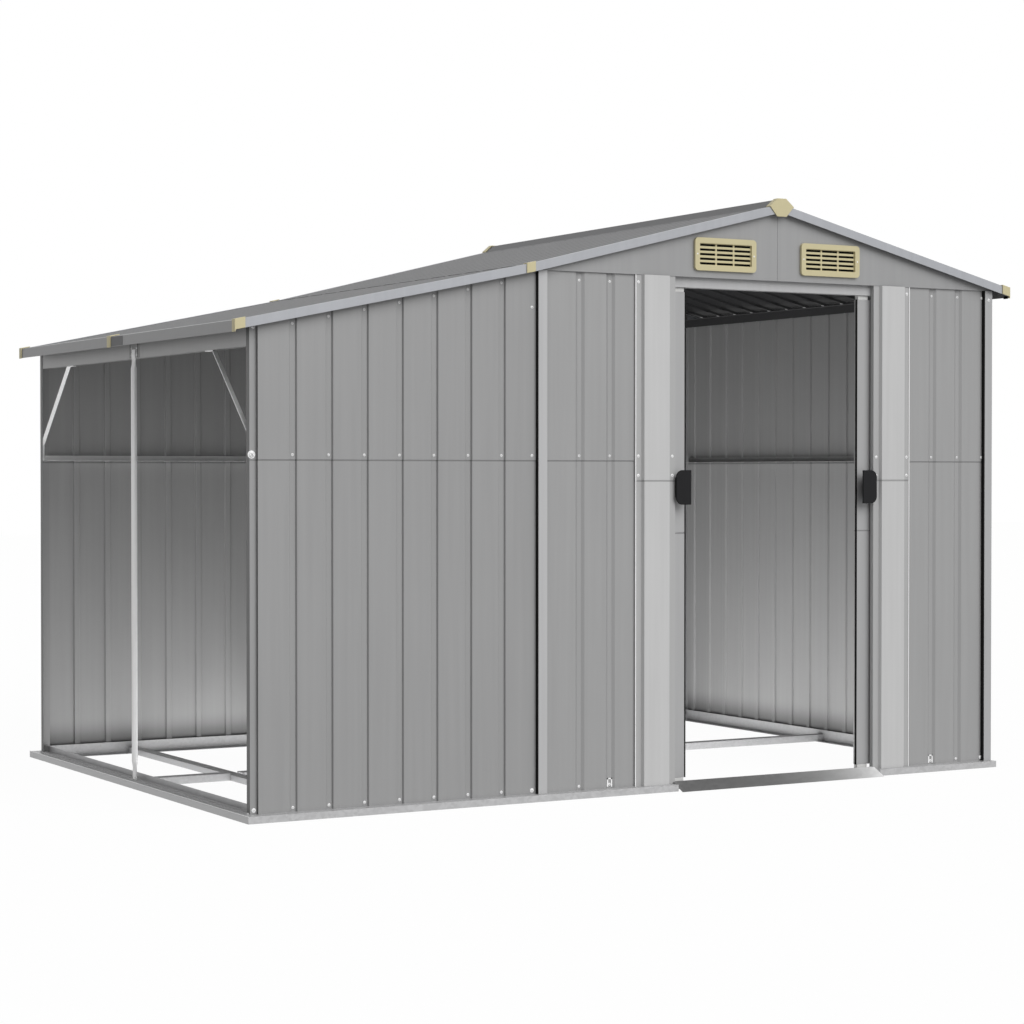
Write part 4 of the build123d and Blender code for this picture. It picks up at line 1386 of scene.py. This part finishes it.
@dataclass
class Studio:
    """The floor, the light and the camera, placed from the front right post."""

    camera_offset: tuple[float, float, float] = (-5.3458, -6.1956, 0.9619)
    camera_turn: tuple[float, float] = (-0.9097, -29.7156)
    lens: float = 86.17
    sensor: float = 36.0
    far_clip: float = 200.0
    floor_size: float = 60.0
    floor_drop: float = 0.0005
    floor_tone: Rgb = grey(0.9)
    floor_glow: float = 0.97
    world_light: float = 0.38
    key_light: float = 2.2
    key_turn: tuple[float, float] = (52.0, 14.0)
    key_spread: float = 50.0
    under_light: float = 40.0
    under_drop: float = 0.2

    def build(self) -> None:
        """Set up the whole studio."""
        self.add_floor()
        self.add_surround()
        self.add_lamps()
        self.add_camera()
        bpy.context.scene.view_settings.view_transform = "Standard"

    def add_floor(self) -> None:
        """Lay a plain white floor that keeps the shed's soft shadow."""
        half = self.floor_size / 2
        mesh = bpy.data.meshes.new("studio_floor")
        corners = [(-half, -half), (half, -half), (half, half), (-half, half)]
        mesh.from_pydata([(x, y, -self.floor_drop) for x, y in corners], [], [(0, 1, 2, 3)])
        material = bpy.data.materials.new("studio_white")
        material.use_nodes = True
        material.node_tree.nodes.clear()
        board = NodeBoard(material.node_tree)
        matt = board.out("ShaderNodeBsdfDiffuse", {"Color": shade(self.floor_tone, 1.0)})
        glow = board.out("ShaderNodeEmission", {"Strength": 1.0})
        ray = board.add("ShaderNodeLightPath").outputs
        seen = board.sum("MAXIMUM", ray["Is Camera Ray"], ray["Is Glossy Ray"])
        share = board.sum("MULTIPLY", seen, self.floor_glow)
        mixed = board.out("ShaderNodeMixShader", {0: share, 1: matt, 2: glow})
        board.add("ShaderNodeOutputMaterial", {"Surface": mixed})
        mesh.materials.append(material)
        floor = scene_object("studio_floor", mesh)
        floor.visible_diffuse = False
        floor.visible_shadow = False

    def add_surround(self) -> None:
        """Put an even white surround behind the shed."""
        world = bpy.data.worlds.new("studio_world")
        world.use_nodes = True
        world.node_tree.nodes.clear()
        board = NodeBoard(world.node_tree)
        ray = board.add("ShaderNodeLightPath").outputs
        seen = board.sum("MAXIMUM", ray["Is Camera Ray"], ray["Is Glossy Ray"])
        seen = board.sum("MAXIMUM", seen, ray["Is Transmission Ray"])
        strength = board.span(seen, target=(self.world_light, 1.0))
        light = board.out("ShaderNodeBackground", {"Color": shade(grey(1.0), 1.0), "Strength": strength})
        board.add("ShaderNodeOutputWorld", {"Surface": light})
        bpy.context.scene.world = world

    def add_lamps(self) -> None:
        """Add a broad light from the front right, and one from below, as a white ground gives."""
        lamp = bpy.data.lights.new("studio_key", "SUN")
        lamp.energy = self.key_light
        lamp.angle = math.radians(self.key_spread)
        key = scene_object("studio_key", lamp)
        key.rotation_euler = (math.radians(self.key_turn[0]), 0.0, math.radians(self.key_turn[1]))
        sides = ("left", "right", "front", "back")
        left, right, front, back = (node_box(f"base_rail_{side}") for side in sides)
        low = Vector((left[1].x, front[1].y, 0.0))
        high = Vector((right[0].x, back[0].y, 0.0))
        lamp = bpy.data.lights.new("studio_ground", "AREA")
        lamp.shape = "RECTANGLE"
        lamp.size = high.x - low.x
        lamp.size_y = high.y - low.y
        lamp.energy = self.under_light
        ground = scene_object("studio_ground", lamp)
        ground.location = (low + high) / 2 - Vector((0.0, 0.0, self.under_drop))
        ground.rotation_euler = (math.pi, 0.0, 0.0)
        ground.visible_camera = False
        ground.visible_glossy = False

    def add_camera(self) -> None:
        """Stand the camera where the photograph was taken."""
        low, high = node_box("post_front_right")
        lens = bpy.data.cameras.new("photo_camera")
        lens.sensor_width = self.sensor
        lens.lens = self.lens
        lens.clip_end = self.far_clip
        camera = scene_object("photo_camera", lens)
        camera.location = Vector((high.x, low.y, 0.0)) + Vector(self.camera_offset)
        tilt, turn = self.camera_turn
        camera.rotation_euler = (math.radians(90.0 + tilt), 0.0, math.radians(turn))
        bpy.context.scene.camera = camera


def main() -> None:
    """Build the dressed shed piece by piece, then the studio."""
    logging.basicConfig(level=logging.INFO, format="%(name)s: %(message)s")
    shop = Workshop()
    paint, lit_front_paint = shop.palette.wall, shop.palette.front
    ribs = RibSizes()
    shed_ribs = replace(ribs, pitch=0.1065)
    side_ribs = replace(shed_ribs, shift=0.029)
    front_ribs = replace(shed_ribs, mouth=0.032, floor=0.014, depth=0.006)
    left_ribs = replace(front_ribs, shift=0.015)
    bay_front = WallSheets(shop, "bay_front_wall", Facing.FRONT, ribs, paint, ends=(1,))
    assemblies = (
        WallSheets(shop, "front_left_wall", Facing.FRONT, left_ribs, lit_front_paint),
        WallSheets(shop, "front_right_wall", Facing.FRONT, front_ribs, lit_front_paint, ends=(1,)),
        replace(bay_front, stretch=0.005, top_row=0.038),
        WallSheets(shop, "back_wall", Facing.BACK, shed_ribs, paint),
        WallSheets(shop, "bay_back_wall", Facing.BACK, ribs, paint),
        WallSheets(shop, "right_wall", Facing.RIGHT, side_ribs, paint),
        WallSheets(shop, "divider_wall", Facing.LEFT, shed_ribs, paint),
        RoofSheets(shop, "roof_right", 1, ribs),
        RoofSheets(shop, "roof_left", -1, ribs),
        RoofSheets(shop, "roof_bay", -1, ribs, tuck=0.025, sink=0.0011),
        Framework(shop),
        GableVents(shop),
        DoorSet(shop),
        Fittings(shop),
        Studio(),
    )
    for assembly in assemblies:
        assembly.build()


if __name__ == "__main__":
    main()
